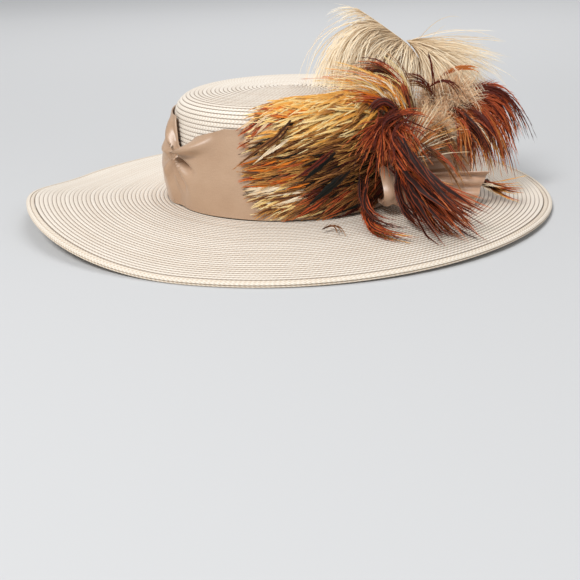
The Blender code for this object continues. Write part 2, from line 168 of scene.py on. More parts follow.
def map_braid(piece, row_place, row_length):
    """Gives each corner its place on the braid: plaits along the row, and rows with the share across."""
    layer = piece.data.uv_layers.new(name="Braid")
    for face in piece.data.polygons:
        middle = turn_of(face.center)
        row = math.floor(row_place(face.center))
        plaits = max(round(row_length(row) / PLAIT), 3)
        for loop in face.loop_indices:
            corner = piece.data.vertices[piece.data.loops[loop].vertex_index].co
            turn = turn_of(corner) if corner.xy.length > 0.0001 else middle
            turn = middle + (turn - middle + math.pi) % math.tau - math.pi
            across = min(max(row_place(corner), row), row + 0.999)
            layer.data[loop].uv = (turn / math.tau * plaits, across)


def smooth_shade(piece, angle=50):
    """Shades a piece smooth but for its sharp edges."""
    select_only(piece)
    bpy.ops.object.shade_smooth_by_angle(angle=math.radians(angle))


class Shade:
    """A socket of a material's nodes. Arithmetic on it adds Math nodes."""

    def __init__(self, tree, socket=None):
        self.tree = tree
        self.socket = socket

    def node(self, kind, settings=None, inputs=None, output=0):
        """Adds a node, with its settings made first and its inputs by name or number, and gives an output."""
        made = self.tree.nodes.new("ShaderNode" + kind)
        for name, value in (settings or {}).items():
            if name == "stops":
                ramp = made.color_ramp
                while len(ramp.elements) < len(value):
                    ramp.elements.new(1.0)
                for element, (place, colour) in zip(ramp.elements, value):
                    element.position = place
                    element.color = (*colour, 1.0)
            elif name == "interpolation" and kind == "ValToRGB":
                made.color_ramp.interpolation = value
            else:
                setattr(made, name, value)
        for name, value in (inputs or {}).items():
            self.feed(made, name, value)
        return Shade(self.tree, made.outputs[output])

    def feed(self, made, name, value):
        """Gives one of a node's inputs a link or a fixed value."""
        if isinstance(value, Shade):
            self.tree.links.new(value.socket, made.inputs[name])
        elif isinstance(value, tuple) and len(made.inputs[name].default_value) > len(value):
            made.inputs[name].default_value = (*value, 1.0)
        else:
            made.inputs[name].default_value = value

    def maths(self, operation, *values):
        return self.node("Math", {"operation": operation}, dict(enumerate(values)))

    def __add__(self, other):
        return self.maths("ADD", self, other)

    def __sub__(self, other):
        return self.maths("SUBTRACT", self, other)

    def __rsub__(self, other):
        return self.maths("SUBTRACT", other, self)

    def __mul__(self, other):
        return self.maths("MULTIPLY", self, other)

    def __truediv__(self, other):
        return self.maths("DIVIDE", self, other)

    def __abs__(self):
        return self.maths("ABSOLUTE", self)

    __radd__ = __add__
    __rmul__ = __mul__

    def fraction(self):
        return self.maths("FRACT", self)

    def floor(self):
        return self.maths("FLOOR", self)

    def wave(self):
        """A wave between 0 and 1, one for each unit."""
        return self.maths("SINE", self * math.tau) * 0.5 + 0.5

    def between(self, low, high):
        """0 below low, 1 above high, and smooth between them."""
        return self.node(
            "MapRange", {"interpolation_type": "SMOOTHSTEP"},
            {"Value": self, "From Min": low, "From Max": high, "To Min": 0.0, "To Max": 1.0},
        )

    def blend(self, first, second):
        """The first colour where this is 0 and the second where it is 1."""
        return self.node("Mix", {"data_type": "RGBA"}, {0: self, 6: first, 7: second}, 2)

    def noise(self, vector, scale, detail=2.0):
        """Noise between 0 and 1."""
        return self.node("TexNoise", inputs={"Vector": vector, "Scale": scale, "Detail": detail})

    def stretched(self, scale):
        """A vector or a colour multiplied part by part."""
        return self.node("VectorMath", {"operation": "MULTIPLY"}, {0: self, 1: scale})

    def part(self, number):
        """One part of a vector."""
        return self.node("SeparateXYZ", inputs={0: self}, output=number)

    def brightened(self, tone):
        """A colour multiplied by one number."""
        return self.stretched(self.node("CombineXYZ", inputs={0: tone, 1: tone, 2: tone}))


def new_finish(name, fixed):
    """A material whose Principled shader has its fixed values on its own sockets."""
    finish = bpy.data.materials.new(name)
    finish.use_nodes = True
    shader = finish.node_tree.nodes["Principled BSDF"]
    for socket, value in fixed.items():
        shader.inputs[socket].default_value = value
    return finish, shader, Shade(finish.node_tree)


def straw_finish(name, pale, deep, lap_shade):
    """Plaited straw: slanting strands in two halves, shade painted between them and where a row goes under the next.
    """
    finish, shader, shade = new_finish(name, {"Roughness": 0.5, "Specular IOR Level": 0.45, "Sheen Weight": 0.06})
    braid = shade.node("UVMap", {"uv_map": "Braid"})
    along = braid.part(0)
    rows = braid.part(1)
    across = rows.fraction()
    place = shade.node("TexCoord", output=3)
    slant = abs(across - 0.5) * 1.3
    strand = (along + slant).wave()
    fine = shade.noise(braid.stretched((3.0, 9.0, 1.0)), 1.0, 3.0)
    row_tone = shade.node("TexWhiteNoise", {"noise_dimensions": "1D"}, {"W": rows.floor()})
    cloudy = shade.noise(place, 22.0, 3.0)
    # Painted shadow: each row is darkened at its foot beside its neighbour's lap and at its own stepped edge.
    under = 1.0 - across.between(0.0, 0.24)
    lip_shade = across.between(0.93, 1.0) * 0.6
    dark = under.maths("MAXIMUM", under, lip_shade)
    # Painted shade: the gaps between the plaited strands are darkened towards the deep tone.
    gap_shade = (1.0 - strand.between(0.05, 0.45)) * 0.26
    tone = strand.between(0.1, 0.9) * 0.36 + fine * 0.38 + row_tone * 0.24 + cloudy * 0.25
    colour = tone.between(0.15, 0.95).blend(deep, pale)
    colour = gap_shade.blend(colour, deep)
    # The painted shadow line along each lap, in the last colour given to this finish and at its strength.
    colour = (dark * lap_shade[3]).blend(colour, lap_shade[:3])
    shade.feed(shader, "Base Color", colour)
    shade.feed(shader, "Roughness", 0.62 - strand * 0.2 + dark * 0.2)
    height = strand * 0.55 + fine * 0.3 - dark * 0.6
    bump = shade.node("Bump", inputs={"Strength": 0.55, "Distance": 0.0004, "Height": height})
    shade.feed(shader, "Normal", bump)
    return finish


def finished(piece, finish, slot, *nodes):
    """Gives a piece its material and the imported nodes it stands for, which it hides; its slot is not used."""
    piece.data.materials.clear()
    piece.data.materials.append(finish)
    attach(piece, "root")
    if nodes:
        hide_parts(*nodes)


# The last colour is the painted shadow line along each lap of the braid, with its strength.
straw = straw_finish("straw_braid", (0.91, 0.84, 0.74), (0.71, 0.60, 0.48), (0.18, 0.11, 0.075, 0.85))
outline = [(BRIM_START, 0.0)]
for row in range(BRIM_ROWS):
    outline += [(1 + (row + across) / BRIM_ROWS, height * LAP_HEIGHT) for across, height in ROW_TOP]
outline.append((2.0, 0.0003))
outline.append((2.0, -STRAW))
for row in reversed(range(BRIM_ROWS)):
    for across, height in reversed(ROW_UNDER):
        outline.append((1 + (row + across) / BRIM_ROWS, -STRAW - height * LAP_HEIGHT))
outline.append((BRIM_START, -STRAW))
brim = spin_outline("straw_brim", outline)
map_braid(
    brim,
    lambda point: (point.xy.length - 1) * BRIM_ROWS,
    lambda row: math.tau * (BRIM_ROW_RADIUS + row * BRIM_ROW_WIDTH),
)
for vertex in brim.data.vertices:
    share = vertex.co.xy.length - 1
    vertex.co = brim_top(turn_of(vertex.co), share) + Vector((0, 0, vertex.co.z))
smooth_shade(brim)
finished(brim, straw, "straw", "brim")

# The brim's edge. The last rows of braid are sewn one on top of the other, which stiffens the edge, and
# their underside rests on the surface where the brim's waves come down.
EDGE_OUTLINE = (
    # distance from the edge, height
    (-0.0070, 0.0002),
    (-0.0066, 0.0000),
    (-0.0030, 0.0000),
    (-0.0007, 0.0001),
    (0.0000, 0.0006),
    (-0.0001, 0.0011),
    (-0.0010, 0.0014),
    (-0.0012, 0.0016),
    (-0.0002, 0.0019),
    (0.0000, 0.0024),
    (-0.0006, 0.0030),
    (-0.0018, 0.0033),
    (-0.0030, 0.0032),
    (-0.0034, 0.0026),
    (-0.0039, 0.0032),
    (-0.0052, 0.0034),
    (-0.0066, 0.0031),
    (-0.0070, 0.0025),
)
EDGE_ROW_WIDTH = 0.0035
EDGE_SIDE = -0.0012
EDGE_RADIUS = 0.2225
# The last colour is the painted shadow line along each lap of the edge rows, with its strength.
edge_straw = straw_finish("straw_edge_braid", (0.88, 0.80, 0.69), (0.64, 0.52, 0.39), (0.20, 0.12, 0.07, 0.75))
edge = spin_outline("straw_edge", [(BRIM_WIDTH / 2 + out, height) for out, height in EDGE_OUTLINE])


def edge_row(point):
    """Rows of the edge: two on top, two on its side, one under it."""
    out = point.xy.length - BRIM_WIDTH / 2
    if point.z < 0.0004:
        return 6 - out / EDGE_ROW_WIDTH
    if out > EDGE_SIDE:
        return 4 + min(max((point.z - 0.0001) / 0.0028, 0), 0.99) * 2
    return 1 + (out + EDGE_BRAID_WIDTH) / EDGE_ROW_WIDTH * 0.999


map_braid(edge, edge_row, lambda row: math.tau * EDGE_RADIUS)
for vertex in edge.data.vertices:
    turn = turn_of(vertex.co)
    flat = oval(BRIM_WIDTH, BRIM_DEPTH, turn, vertex.co.xy.length - BRIM_WIDTH / 2)
    vertex.co = (flat.x, flat.y, vertex.co.z + edge_height(turn))
smooth_shade(edge)
finished(edge, edge_straw, "straw", "edge_braid")

# The crown. The same spiral of braid starts as a button at the middle of the top, turns over a soft
# shoulder and comes down the wall, each row lapped over the one below. It is open underneath.
CROWN_LEAN = 0.006
CROWN_HEIGHT = 0.0885
SHOULDER_RADIUS = 0.017
TOP_DOME = 0.003
CROWN_WALL = CROWN_HEIGHT - TOP_DOME - SHOULDER_RADIUS
SHOULDER_RUN = SHOULDER_RADIUS * math.pi / 2
TOP_RUN = CROWN_WIDTH / 2 - CROWN_LEAN - SHOULDER_RADIUS
CROWN_RUN = CROWN_WALL + SHOULDER_RUN + TOP_RUN
CROWN_ROWS = 49
CROWN_BASE = HEADLINE_HEIGHT + GAP


def crown_outline(run, out):
    """Distance from the axis and height above the base, at a run up the outline and a distance off it."""
    if run <= CROWN_WALL:
        return CROWN_WIDTH / 2 - CROWN_LEAN * max(run, 0) / CROWN_WALL + out, run
    turn = min((run - CROWN_WALL) / SHOULDER_RADIUS, math.pi / 2)
    bend = SHOULDER_RADIUS + out
    place = (TOP_RUN + bend * math.cos(turn), CROWN_WALL + bend * math.sin(turn))
    left = CROWN_RUN - run
    if left > TOP_RUN:
        return place
    share = max(left, 0) / TOP_RUN
    return TOP_RUN * share, place[1] + TOP_DOME * (1 - share * share)


def crown_skin(angle, run, out):
    """A point off the crown at an angle, at a run up its outline from the brim."""
    distance, height = crown_outline(run, out)
    depth = distance + (CROWN_DEPTH - CROWN_WIDTH) / 2
    return Vector((distance * math.cos(angle), depth * math.sin(angle), CROWN_BASE + height))


row_run = CROWN_RUN / CROWN_ROWS
outline = [(0.0, crown_outline(CROWN_RUN, 0)[1])]
for row in range(CROWN_ROWS):
    for across, height in ROW_TOP[1:]:
        outline.append(crown_outline(CROWN_RUN - (row + across) * row_run, height * LAP_HEIGHT))
    outline.append(crown_outline(CROWN_RUN - (row + 1) * row_run, 0.0))
for row in reversed(range(CROWN_ROWS)):
    for across, height in reversed(ROW_UNDER[1:]):
        outline.append(crown_outline(CROWN_RUN - (row + across) * row_run, -STRAW - height * LAP_HEIGHT * 0.5))
outline.append((0.0, crown_outline(CROWN_RUN, -STRAW)[1]))
crown = spin_outline("straw_crown", outline, closed=False)


def crown_row(point):
    """Rows from the middle of the crown's top to the point, along the outline."""
    distance = point.xy.length
    if distance < TOP_RUN:
        return distance / row_run
    if point.z > CROWN_WALL:
        turn = math.atan2(point.z - CROWN_WALL, distance - TOP_RUN)
        return (TOP_RUN + SHOULDER_RADIUS * (math.pi / 2 - turn)) / row_run
    return (CROWN_RUN - point.z) / row_run


map_braid(crown, crown_row, lambda row: math.tau * min((row + 0.5) * row_run, CROWN_WIDTH / 2))
for vertex in crown.data.vertices:
    vertex.co = (vertex.co.x, vertex.co.y * CROWN_DEPTH / CROWN_WIDTH, vertex.co.z + CROWN_BASE)
smooth_shade(crown)
finished(crown, straw, "straw", "crown")

# The band. A strip of bias-cut satin draped round the crown, its edges turned in, and drawn down at two
# tacks, from which small folds fan out.
SATIN = 0.0012
BAND_HEIGHT = 0.072
BAND_PUFF = 0.008
BAND_TABLE = (
    # angle, top edge, puff
    (18, 0.98, 0.35),
    (62, 1.00, 0.60),
    (78, 0.66, 0.00),
    (94, 0.98, 0.55),
    (150, 1.00, 0.45),
    (188, 1.00, 1.00),
    (203, 1.00, 0.80),
    (210, 0.64, 0.00),
    (222, 0.84, 0.40),
    (240, 0.97, 0.30),
    (300, 1.00, 0.20),
    (340, 0.98, 0.10),
)
BAND_PROFILE = (
    # height share, puff
    (0.0, 0.45),
    (0.2, 0.85),
    (0.4, 1.00),
    (0.6, 0.80),
    (0.8, 0.40),
    (1.0, 0.10),
)
TACKS = (
    # angle, height above the brim, way the folds face
    (209.5, 0.0455, 1),
    (78.0, 0.0465, -1),
)
TACK_FOLDS = (
    # way from the tack in degrees, spread, length, height
    (56, 6, 0.052, 0.0105),
    (37, 7, 0.044, -0.0140),
    (17, 9, 0.056, 0.0125),
    (-5, 8, 0.040, 0.0030),
    (-27, 7, 0.036, -0.0075),
    (-46, 9, 0.036, 0.0050),
    (-66, 8, 0.042, -0.0050),
    (-87, 6, 0.034, 0.0050),
    (-106, 7, 0.038, -0.0032),
    (-126, 9, 0.038, 0.0026),
    (-150, 9, 0.036, -0.0030),
    (178, 10, 0.040, 0.0032),
    (158, 8, 0.032, -0.0030),
    (138, 8, 0.046, 0.0034),
    (122, 5, 0.046, -0.0026),
    (107, 6, 0.050, 0.0034),
)
BAND_RADIUS = 0.108
TACK_SWELL = 0.0034
FOLDS_REACH = 0.07
BAND_COLUMNS, BAND_LINES = 400, 44


def line_table(table, place):
    """The second column of a table at a place along its first, straight between rows."""
    for low, high in zip(table, table[1:]):
        if place <= high[0]:
            share = (place - low[0]) / (high[0] - low[0])
            return low[1] + (high[1] - low[1]) * share
    return table[-1][1]


def tack_folds(angle, height):
    """How far the folds that fan out of the tacks lift the satin."""
    lift = 0.0
    for tack, level, facing in TACKS:
        turn = (math.degrees(angle) - tack + 180) % 360 - 180
        along = math.radians(turn) * BAND_RADIUS * facing
        rise = height - level
        reach = math.hypot(along, rise)
        if reach > FOLDS_REACH:
            continue
        lift += TACK_SWELL * ease(reach / 0.007) * (1 - ease((reach - 0.015) / 0.045))
        way = math.degrees(math.atan2(rise, along))
        for heading, spread, length, fold in TACK_FOLDS:
            aside = ((way - heading + 180) % 360 - 180) / spread
            if abs(aside) < 3:
                fade = ease(reach / 0.005) * (1 - ease((reach - length * 0.35) / (length * 0.65)))
                lift += fold * math.exp(-aside * aside) * fade
    return lift


def band_point(angle, share):
    """A point on the satin's middle, from its bottom edge at share 0 to its top edge at 1."""
    top = round_table(BAND_TABLE, angle, 1, smooth=False)
    height = GAP + 0.0009 + (BAND_HEIGHT * top - 0.001) * share
    puff = BAND_PUFF * round_table(BAND_TABLE, angle, 2) * line_table(BAND_PROFILE, share)
    turned = 1 - ease((share - 0.93) / 0.07)
    drift = Vector((math.cos(angle) * BAND_RADIUS, math.sin(angle) * BAND_RADIUS, height)) * 26
    soft = noise.noise(drift) * 0.0016 + noise.noise(drift * 2.7) * 0.0004
    fold = tack_folds(angle, height) * (0.35 + 0.65 * turned) + soft * turned
    out = LAP_HEIGHT + SATIN * 0.9 + GAP + puff + max(fold, -puff * 0.9 - 0.0004)
    return crown_skin(angle, height, out)


def cloth_sheet(name, rows, closed=False):
    """A single-layer sheet from a grid of points, with its flat place in a UV map named Cloth."""
    columns = len(rows[0])
    corners = [point for row in rows for point in row]
    faces = []
    for line in range(len(rows) - 1):
        for column in range(columns if closed else columns - 1):
            after = (column + 1) % columns
            low, high = line * columns, (line + 1) * columns
            faces.append((low + column, low + after, high + after, high + column))
    mesh = bpy.data.meshes.new(name)
    mesh.from_pydata(corners, [], faces)
    layer = mesh.uv_layers.new(name="Cloth")
    for face in mesh.polygons:
        line, column = divmod(face.index, columns if closed else columns - 1)
        for loop, (across, up) in zip(face.loop_indices, ((0, 0), (1, 0), (1, 1), (0, 1))):
            layer.data[loop].uv = ((column + across) / columns, (line + up) / len(rows))
    return add_piece(name, mesh)


def thicken(piece, thickness):
    """Gives a sheet its thickness."""
    select_only(piece)
    wall = piece.modifiers.new("Thickness", "SOLIDIFY")
    wall.thickness = thickness
    wall.offset = 0.0
    wall.use_rim = True
    bpy.ops.object.modifier_apply(modifier=wall.name)


def satin_finish(name, light, deep):
    """Dull satin: long soft streaks along the cloth, a fine thread, and a smooth low gloss."""
    finish, shader, shade = new_finish(
        name, {"Roughness": 0.36, "Specular IOR Level": 0.75, "Sheen Weight": 0.12, "Sheen Roughness": 0.35},
    )
    cloth = shade.node("UVMap", {"uv_map": "Cloth"})
    place = shade.node("TexCoord", output=3)
    thread = shade.noise(cloth.stretched((900.0, 60.0, 1.0)), 1.0, 2.0)
    weft = shade.noise(cloth.stretched((60.0, 420.0, 1.0)), 1.0, 2.0)
    cloud = shade.noise(place, 30.0, 3.0)
    tone = thread * 0.3 + weft * 0.25 + cloud * 0.5
    shade.feed(shader, "Base Color", tone.between(0.25, 0.85).blend(deep, light))
    shade.feed(shader, "Roughness", 0.33 + cloud * 0.12)
    creases = shade.noise(place.stretched((1.0, 1.0, 1.6)), 70.0, 3.0)
    height = thread * 0.12 + weft * 0.12 + creases * 0.5
    bump = shade.node("Bump", inputs={"Strength": 0.22, "Distance": 0.0008, "Height": height})
    shade.feed(shader, "Normal", bump)
    return finish


satin = satin_finish("draped_satin", (0.57, 0.39, 0.26), (0.41, 0.255, 0.155))
rows = []
for line in range(BAND_LINES + 1):
    share = line / BAND_LINES
    rows.append([band_point(math.tau * column / BAND_COLUMNS, share) for column in range(BAND_COLUMNS)])
band = cloth_sheet("satin_band_drape", rows, closed=True)
thicken(band, SATIN * 0.7)
smooth_shade(band, 80)
finished(band, satin, "satin", "satin_band")

# The bow. Satin ribbon in two loops and a tail, gathered under a wrapped knot that is sewn to the band
# at the right of the front. The front loop hangs as a puff, the side loop stands on its edge.
RIBBON_WIDTH = 0.030
KNOT_ANGLE = math.radians(-36)
KNOT_LIFT = 0.027
RIBBON_SATIN = 0.0006
KNOT_OUT = 0.008
KNOT_HALVES = (0.0078, 0.0118, 0.0150)
RIBBON_LINES, RIBBON_COLUMNS = 40, 18
FRONT_LOOP = (
    # out from the band, along it, up from the knot's middle
    (0.006, -0.004, 0.004),
    (0.016, -0.015, 0.009),
    (0.030, -0.025, 0.005),
    (0.037, -0.030, -0.007),
    (0.032, -0.028, -0.017),
    (0.018, -0.018, -0.019),
    (0.006, -0.006, -0.012),
)
SIDE_LOOP = (
    # out, along, up
    (0.006, 0.006, 0.004),
    (0.018, 0.031, 0.008),
    (0.038, 0.049, 0.007),
    (0.049, 0.051, 0.005),
    (0.050, 0.042, 0.002),
    (0.034, 0.022, 0.000),
    (0.012, 0.006, 0.001),
)
TAIL = (
    # out, along, up
    (0.011, 0.000, -0.004),
    (0.034, 0.008, -0.010),
    (0.055, 0.022, -0.013),
    (0.074, 0.034, -0.014),
)


def knot_point(out, along, up):
    """A point in the bow's own directions, from the band behind the knot's middle."""
    outward = Vector((math.cos(KNOT_ANGLE), math.sin(KNOT_ANGLE), 0))
    sideways = Vector((-math.sin(KNOT_ANGLE), math.cos(KNOT_ANGLE), 0))
    return crown_skin(KNOT_ANGLE, KNOT_LIFT, 0) + outward * out + sideways * along + Vector((0, 0, up))


def curve_point(points, place):
    """A point on a smooth curve through a list of vectors, at a place from 0 to the last index."""
    index = min(int(place), len(points) - 2)
    share = place - index
    p1, p2 = points[index], points[index + 1]
    p0 = points[index - 1] if index > 0 else p1 * 2 - p2
    p3 = points[index + 2] if index + 2 < len(points) else p2 * 2 - p1
    return 0.5 * (
        2 * p1 + (p2 - p0) * share + (2 * p0 - 5 * p1 + 4 * p2 - p3) * share ** 2
        + (3 * p1 - p0 - 3 * p2 + p3) * share ** 3
    )


def ribbon_sheet(name, table, across, width, pleats, tail=False):
    """A ribbon through a table of places, its pleats deep where it is gathered at the knot."""
    path = [knot_point(*row) for row in table]
    rows = []
    for line in range(RIBBON_LINES + 1):
        share = line / RIBBON_LINES
        row = []
        for column in range(RIBBON_COLUMNS + 1):
            side = column / RIBBON_COLUMNS * 2 - 1
            pointed = 1 - 0.16 * (1 + side) / 2 * share if tail else 1
            place = share * pointed * (len(path) - 1)
            centre = curve_point(path, place)
            run = curve_point(path, min(place + 0.05, len(path) - 1)) - curve_point(path, max(place - 0.05, 0))
            run.normalize()
            normal = run.cross(across).normalized()
            rise = normal.cross(run).normalized()
            open_out = math.sin(math.pi / 2 * share) if tail else math.sin(math.pi * share)
            half = width / 2 * (0.42 + 0.58 * open_out)
            depth = 0.0021 * (1.2 - 0.1 * open_out if tail else 1 - 0.62 * open_out)
            pleat = math.cos(side * pleats * math.pi + 0.6) * depth
            soft = noise.noise(centre * 90 + rise * side * 1.3) * (0.0026 if tail else 0.0012) * open_out
            row.append(centre + rise * half * side + normal * (pleat + soft - side * side * 0.0022 * open_out))
        rows.append(row)
    return cloth_sheet(name, rows)


def cut_size(piece):
    """Width and length of the ribbon that a sheet was cut from: its middle line, and its area over that."""
    area = sum(face.area for face in piece.data.polygons)
    middle = [corner.co for corner in list(piece.data.vertices)[RIBBON_COLUMNS // 2::RIBBON_COLUMNS + 1]]
    length = sum((after - before).length for before, after in zip(middle, middle[1:]))
    return round(area / length, 3), round(length, 3)


bow_satin = satin_finish("bow_satin", (0.68, 0.44, 0.30), (0.44, 0.26, 0.155))
RIBBONS = (
    # name, places, way across, width, pleats, tail, node
    ("satin_loop_front", FRONT_LOOP, Vector((0.93, 0.37, 0)), 0.038, 3, False, "bow_loop_front"),
    ("satin_loop_side", SIDE_LOOP, Vector((0, 0, -1)), RIBBON_WIDTH, 3, False, "bow_loop_side"),
    ("satin_tail", TAIL, Vector((0, 0, -1)), RIBBON_WIDTH, 3, True, "bow_tail"),
)
for name, table, across, width, pleats, tail, node in RIBBONS:
    ribbon = ribbon_sheet(name, table, across, width, pleats, tail)
    size = cut_size(ribbon)
    thicken(ribbon, RIBBON_SATIN)
    smooth_shade(ribbon, 80)
    finished(ribbon, bow_satin, "satin", node)

bpy.ops.object.select_all(action="DESELECT")
bpy.ops.mesh.primitive_uv_sphere_add(segments=40, ring_count=24, radius=1)
knot = bpy.context.object
knot.name = "satin_knot"
for vertex in knot.data.vertices:
    turn = turn_of(vertex.co)
    fold = 1 + 0.07 * math.sin(turn * 7 + vertex.co.z * 2.2) * (1 - abs(vertex.co.z))
    squared = math.copysign(abs(vertex.co.z) ** 0.8, vertex.co.z)
    vertex.co = knot_point(
        KNOT_OUT + vertex.co.x * KNOT_HALVES[0] * fold, vertex.co.y * KNOT_HALVES[1] * fold, squared * KNOT_HALVES[2],
    )
knot.data.uv_layers[0].name = "Cloth"
smooth_shade(knot, 80)
finished(knot, bow_satin, "satin", "bow_knot")

# The hackles. Narrow cock's feathers: two thin vanes meet along the quill, and loose barbs stand off
# their edges. Each is coloured by its kind of feather, the place on it and its distance from the quill.
HACKLES = (
    # name, root, middle, tip, heart, width of the heart
    ("amber", (0.46, 0.16, 0.03), (0.76, 0.36, 0.07), (0.86, 0.54, 0.17), (0.46, 0.14, 0.02), 0.12),
    ("straw_gold", (0.40, 0.20, 0.06), (0.78, 0.55, 0.22), (0.90, 0.72, 0.38), (0.46, 0.26, 0.06), 0.14),
    ("orange", (0.60, 0.24, 0.03), (0.72, 0.20, 0.02), (0.56, 0.10, 0.015), (0.55, 0.12, 0.01), 0.15),
    ("tawny", (0.14, 0.055, 0.02), (0.42, 0.17, 0.04), (0.66, 0.34, 0.09), (0.10, 0.035, 0.012), 0.30),
    ("brown", (0.09, 0.034, 0.014), (0.21, 0.078, 0.025), (0.46, 0.20, 0.06), (0.026, 0.011, 0.006), 0.40),
    ("green_black", (0.06, 0.022, 0.010), (0.013, 0.011, 0.007), (0.045, 0.018, 0.009), (0.004, 0.005, 0.004), 0.55),
    ("cream", (0.66, 0.50, 0.32), (0.84, 0.70, 0.50), (0.78, 0.54, 0.28), (0.36, 0.22, 0.12), 0.16),
    ("rust", (0.20, 0.036, 0.011), (0.44, 0.078, 0.022), (0.58, 0.155, 0.042), (0.026, 0.008, 0.005), 0.36),
    ("burgundy", (0.16, 0.024, 0.010), (0.12, 0.018, 0.009), (0.05, 0.011, 0.007), (0.014, 0.005, 0.004), 0.36),
    ("burnt_orange", (0.26, 0.06, 0.015), (0.50, 0.15, 0.035), (0.66, 0.28, 0.09), (0.22, 0.05, 0.012), 0.15),
    ("black_heart", (0.24, 0.045, 0.014), (0.42, 0.075, 0.021), (0.24, 0.048, 0.016), (0.007, 0.004, 0.004), 0.56),
    ("raven", (0.16, 0.028, 0.010), (0.20, 0.036, 0.012), (0.38, 0.075, 0.021), (0.004, 0.003, 0.003), 0.76),
    ("dark_tip", (0.66, 0.50, 0.32), (0.80, 0.64, 0.44), (0.05, 0.025, 0.014), (0.36, 0.24, 0.14), 0.15),
    ("rusty_tip", (0.62, 0.42, 0.20), (0.70, 0.50, 0.30), (0.36, 0.09, 0.035), (0.44, 0.25, 0.12), 0.15),
)
KIND = {row[0]: index for index, row in enumerate(HACKLES)}
ROW_EDGE = 0.08
VANE_LEAN = 0.10
HALF_STRIP = 0.006
WIDEST = 0.30
BARB_HALF = (0.00012, 0.00024)
FLUFF = 3
FLUFF_WIDTHS = (0.00016, 0.00012, 0)


class Bundle:
    """The vanes, barbs and strands of one bundle of feathers, gathered into one mesh."""

    def __init__(self, kinds):
        self.kinds = kinds
        self.points = []
        self.faces = []
        self.places = []

    def strip(self, line, side, widths, along, kind, start=0.0, end=1.0):
        """A thin strip along a line, coloured for one place along its feather and from start to end across."""
        first = len(self.points)
        last = len(line) - 1
        for index, (point, width) in enumerate(zip(line, widths)):
            across = start + (end - start) * index / last
            level = (kind + ROW_EDGE + (1 - 2 * ROW_EDGE) * across) / self.kinds
            if index == last:
                self.points.append(point)
                self.places.append((along, level))
                continue
            self.points += [point - side * width, point + side * width]
            self.places += [(along - HALF_STRIP, level), (along + HALF_STRIP, level)]
        for index in range(last - 1):
            low = first + index * 2
            self.faces.append((low, low + 1, low + 3, low + 2))
        self.faces.append((first + last * 2 - 2, first + last * 2 - 1, first + last * 2))

    def vane(self, line, edges, kind):
        """One smooth side of a feather between its quill and its edge, streaked along its barbs."""
        first = len(self.points)
        last = len(line) - 1
        for index, (point, edge) in enumerate(zip(line, edges)):
            place = index / last
            self.points += [point, edge]
            self.places.append((place, (kind + ROW_EDGE) / self.kinds))
            self.places.append((place - VANE_LEAN, (kind + 1 - ROW_EDGE) / self.kinds))
        for index in range(last):
            low = first + index * 2
            self.faces.append((low, low + 1, low + 3, low + 2))

    def made(self, name):
        """The bundle as a piece."""
        mesh = bpy.data.meshes.new(name)
        mesh.from_pydata(self.points, [], self.faces)
        layer = mesh.uv_layers.new(name="OFBake")
        corners = [0] * len(mesh.loops)
        mesh.loops.foreach_get("vertex_index", corners)
        flat = []
        for corner in corners:
            flat += self.places[corner]
        layer.data.foreach_set("uv", flat)
        mesh.shade_smooth()
        return add_piece(name, mesh)


def vane_width(place):
    """Half width of a hackle along its quill, as a share of its greatest."""
    if place < WIDEST:
        return 0.40 + 0.60 * ease(place / WIDEST)
    return max(1 - ((place - WIDEST) / (1 - WIDEST)) ** 1.5, 0)


def hackle(bundle, chance, line, face, width, kind, barbs=9):
    """One feather: a smooth vane on both sides of a line of points, and loose barbs at its edges."""
    last = len(line) - 1
    length = sum((after - before).length for before, after in zip(line, line[1:]))
    number = KIND[kind]
    sides = []
    for index in range(last + 1):
        run = line[min(index + 1, last)] - line[max(index - 1, 0)]
        run.normalize()
        sides.append((run, run.cross(face).normalized()))
    for sign in (-1, 1):
        cup = chance.uniform(-0.15, 0.35) * width
        ripple = chance.random() * 6
        edges = []
        for index in range(last + 1):
            place = index / last
            run, side = sides[index]
            ragged = 1 + 0.22 * math.sin(ripple + place * 17) + chance.uniform(-0.12, 0.12)
            reach = side * sign * width * vane_width(place) * ragged + side.cross(run) * -cup * vane_width(place)
            edges.append(line[index] + reach + run * width * 0.3 * vane_width(place))
        bundle.vane(line, edges, number)
        for barb in range(barbs):
            place = 0.05 + 0.90 * (barb + chance.uniform(0.1, 0.9)) / barbs
            index = min(int(place * last), last - 1)
            foot = line[index].lerp(line[index + 1], place * last - index)
            run, side = sides[index]
            lift = side.cross(run) * -1
            out = side * sign * width * max(vane_width(place), 0.15) * chance.uniform(0.9, 1.5)
            rise = lift * width * chance.uniform(0.05, 0.5)
            reach = length * (0.07 + 0.10 * (1 - place)) * chance.uniform(0.7, 1.4)
            middle = foot + run * reach * 0.5 + out * 0.75 + rise * 0.6
            tip = foot + run * reach + out + rise
            wide = chance.uniform(*BARB_HALF)
            bundle.strip(
                (foot + rise * 0.3, middle, tip), (tip - foot).cross(lift).normalized(), (wide, wide * 0.8, 0),
                min(max(place, 0.02), 0.98), number, 0.3, 1.0,
            )
    for stray in range(FLUFF):
        run, side = sides[0]
        sign = chance.choice((-1, 1))
        foot = line[0].lerp(line[1], chance.random())
        middle = foot + run * length * chance.uniform(0.06, 0.14)
        middle += side * sign * width * chance.uniform(0.8, 1.4)
        tip = middle + run * length * chance.uniform(0.1, 0.25) + face * chance.uniform(-0.002, 0.004)
        bundle.strip((foot, middle, tip), face.cross(run).normalized(), FLUFF_WIDTHS, 0.08, number)


def kinds_of(places, kinds):
    """Place across a feather, and the value of each column of a table of kinds, read off the OFBake map."""
    rows = places.part(1) * float(len(kinds))
    across = (rows.fraction() - ROW_EDGE) / (1 - 2 * ROW_EDGE)
    middle_of_row = (rows.floor() + 0.5) / float(len(kinds))
    columns = []
    for values in zip(*kinds):
        values = [value if isinstance(value, tuple) else (value,) * 3 for value in values]
        stops = [(index / len(kinds), value) for index, value in enumerate(values)]
        columns.append(places.node("ValToRGB", {"interpolation": "CONSTANT", "stops": stops}, {0: middle_of_row}))
    return across, columns


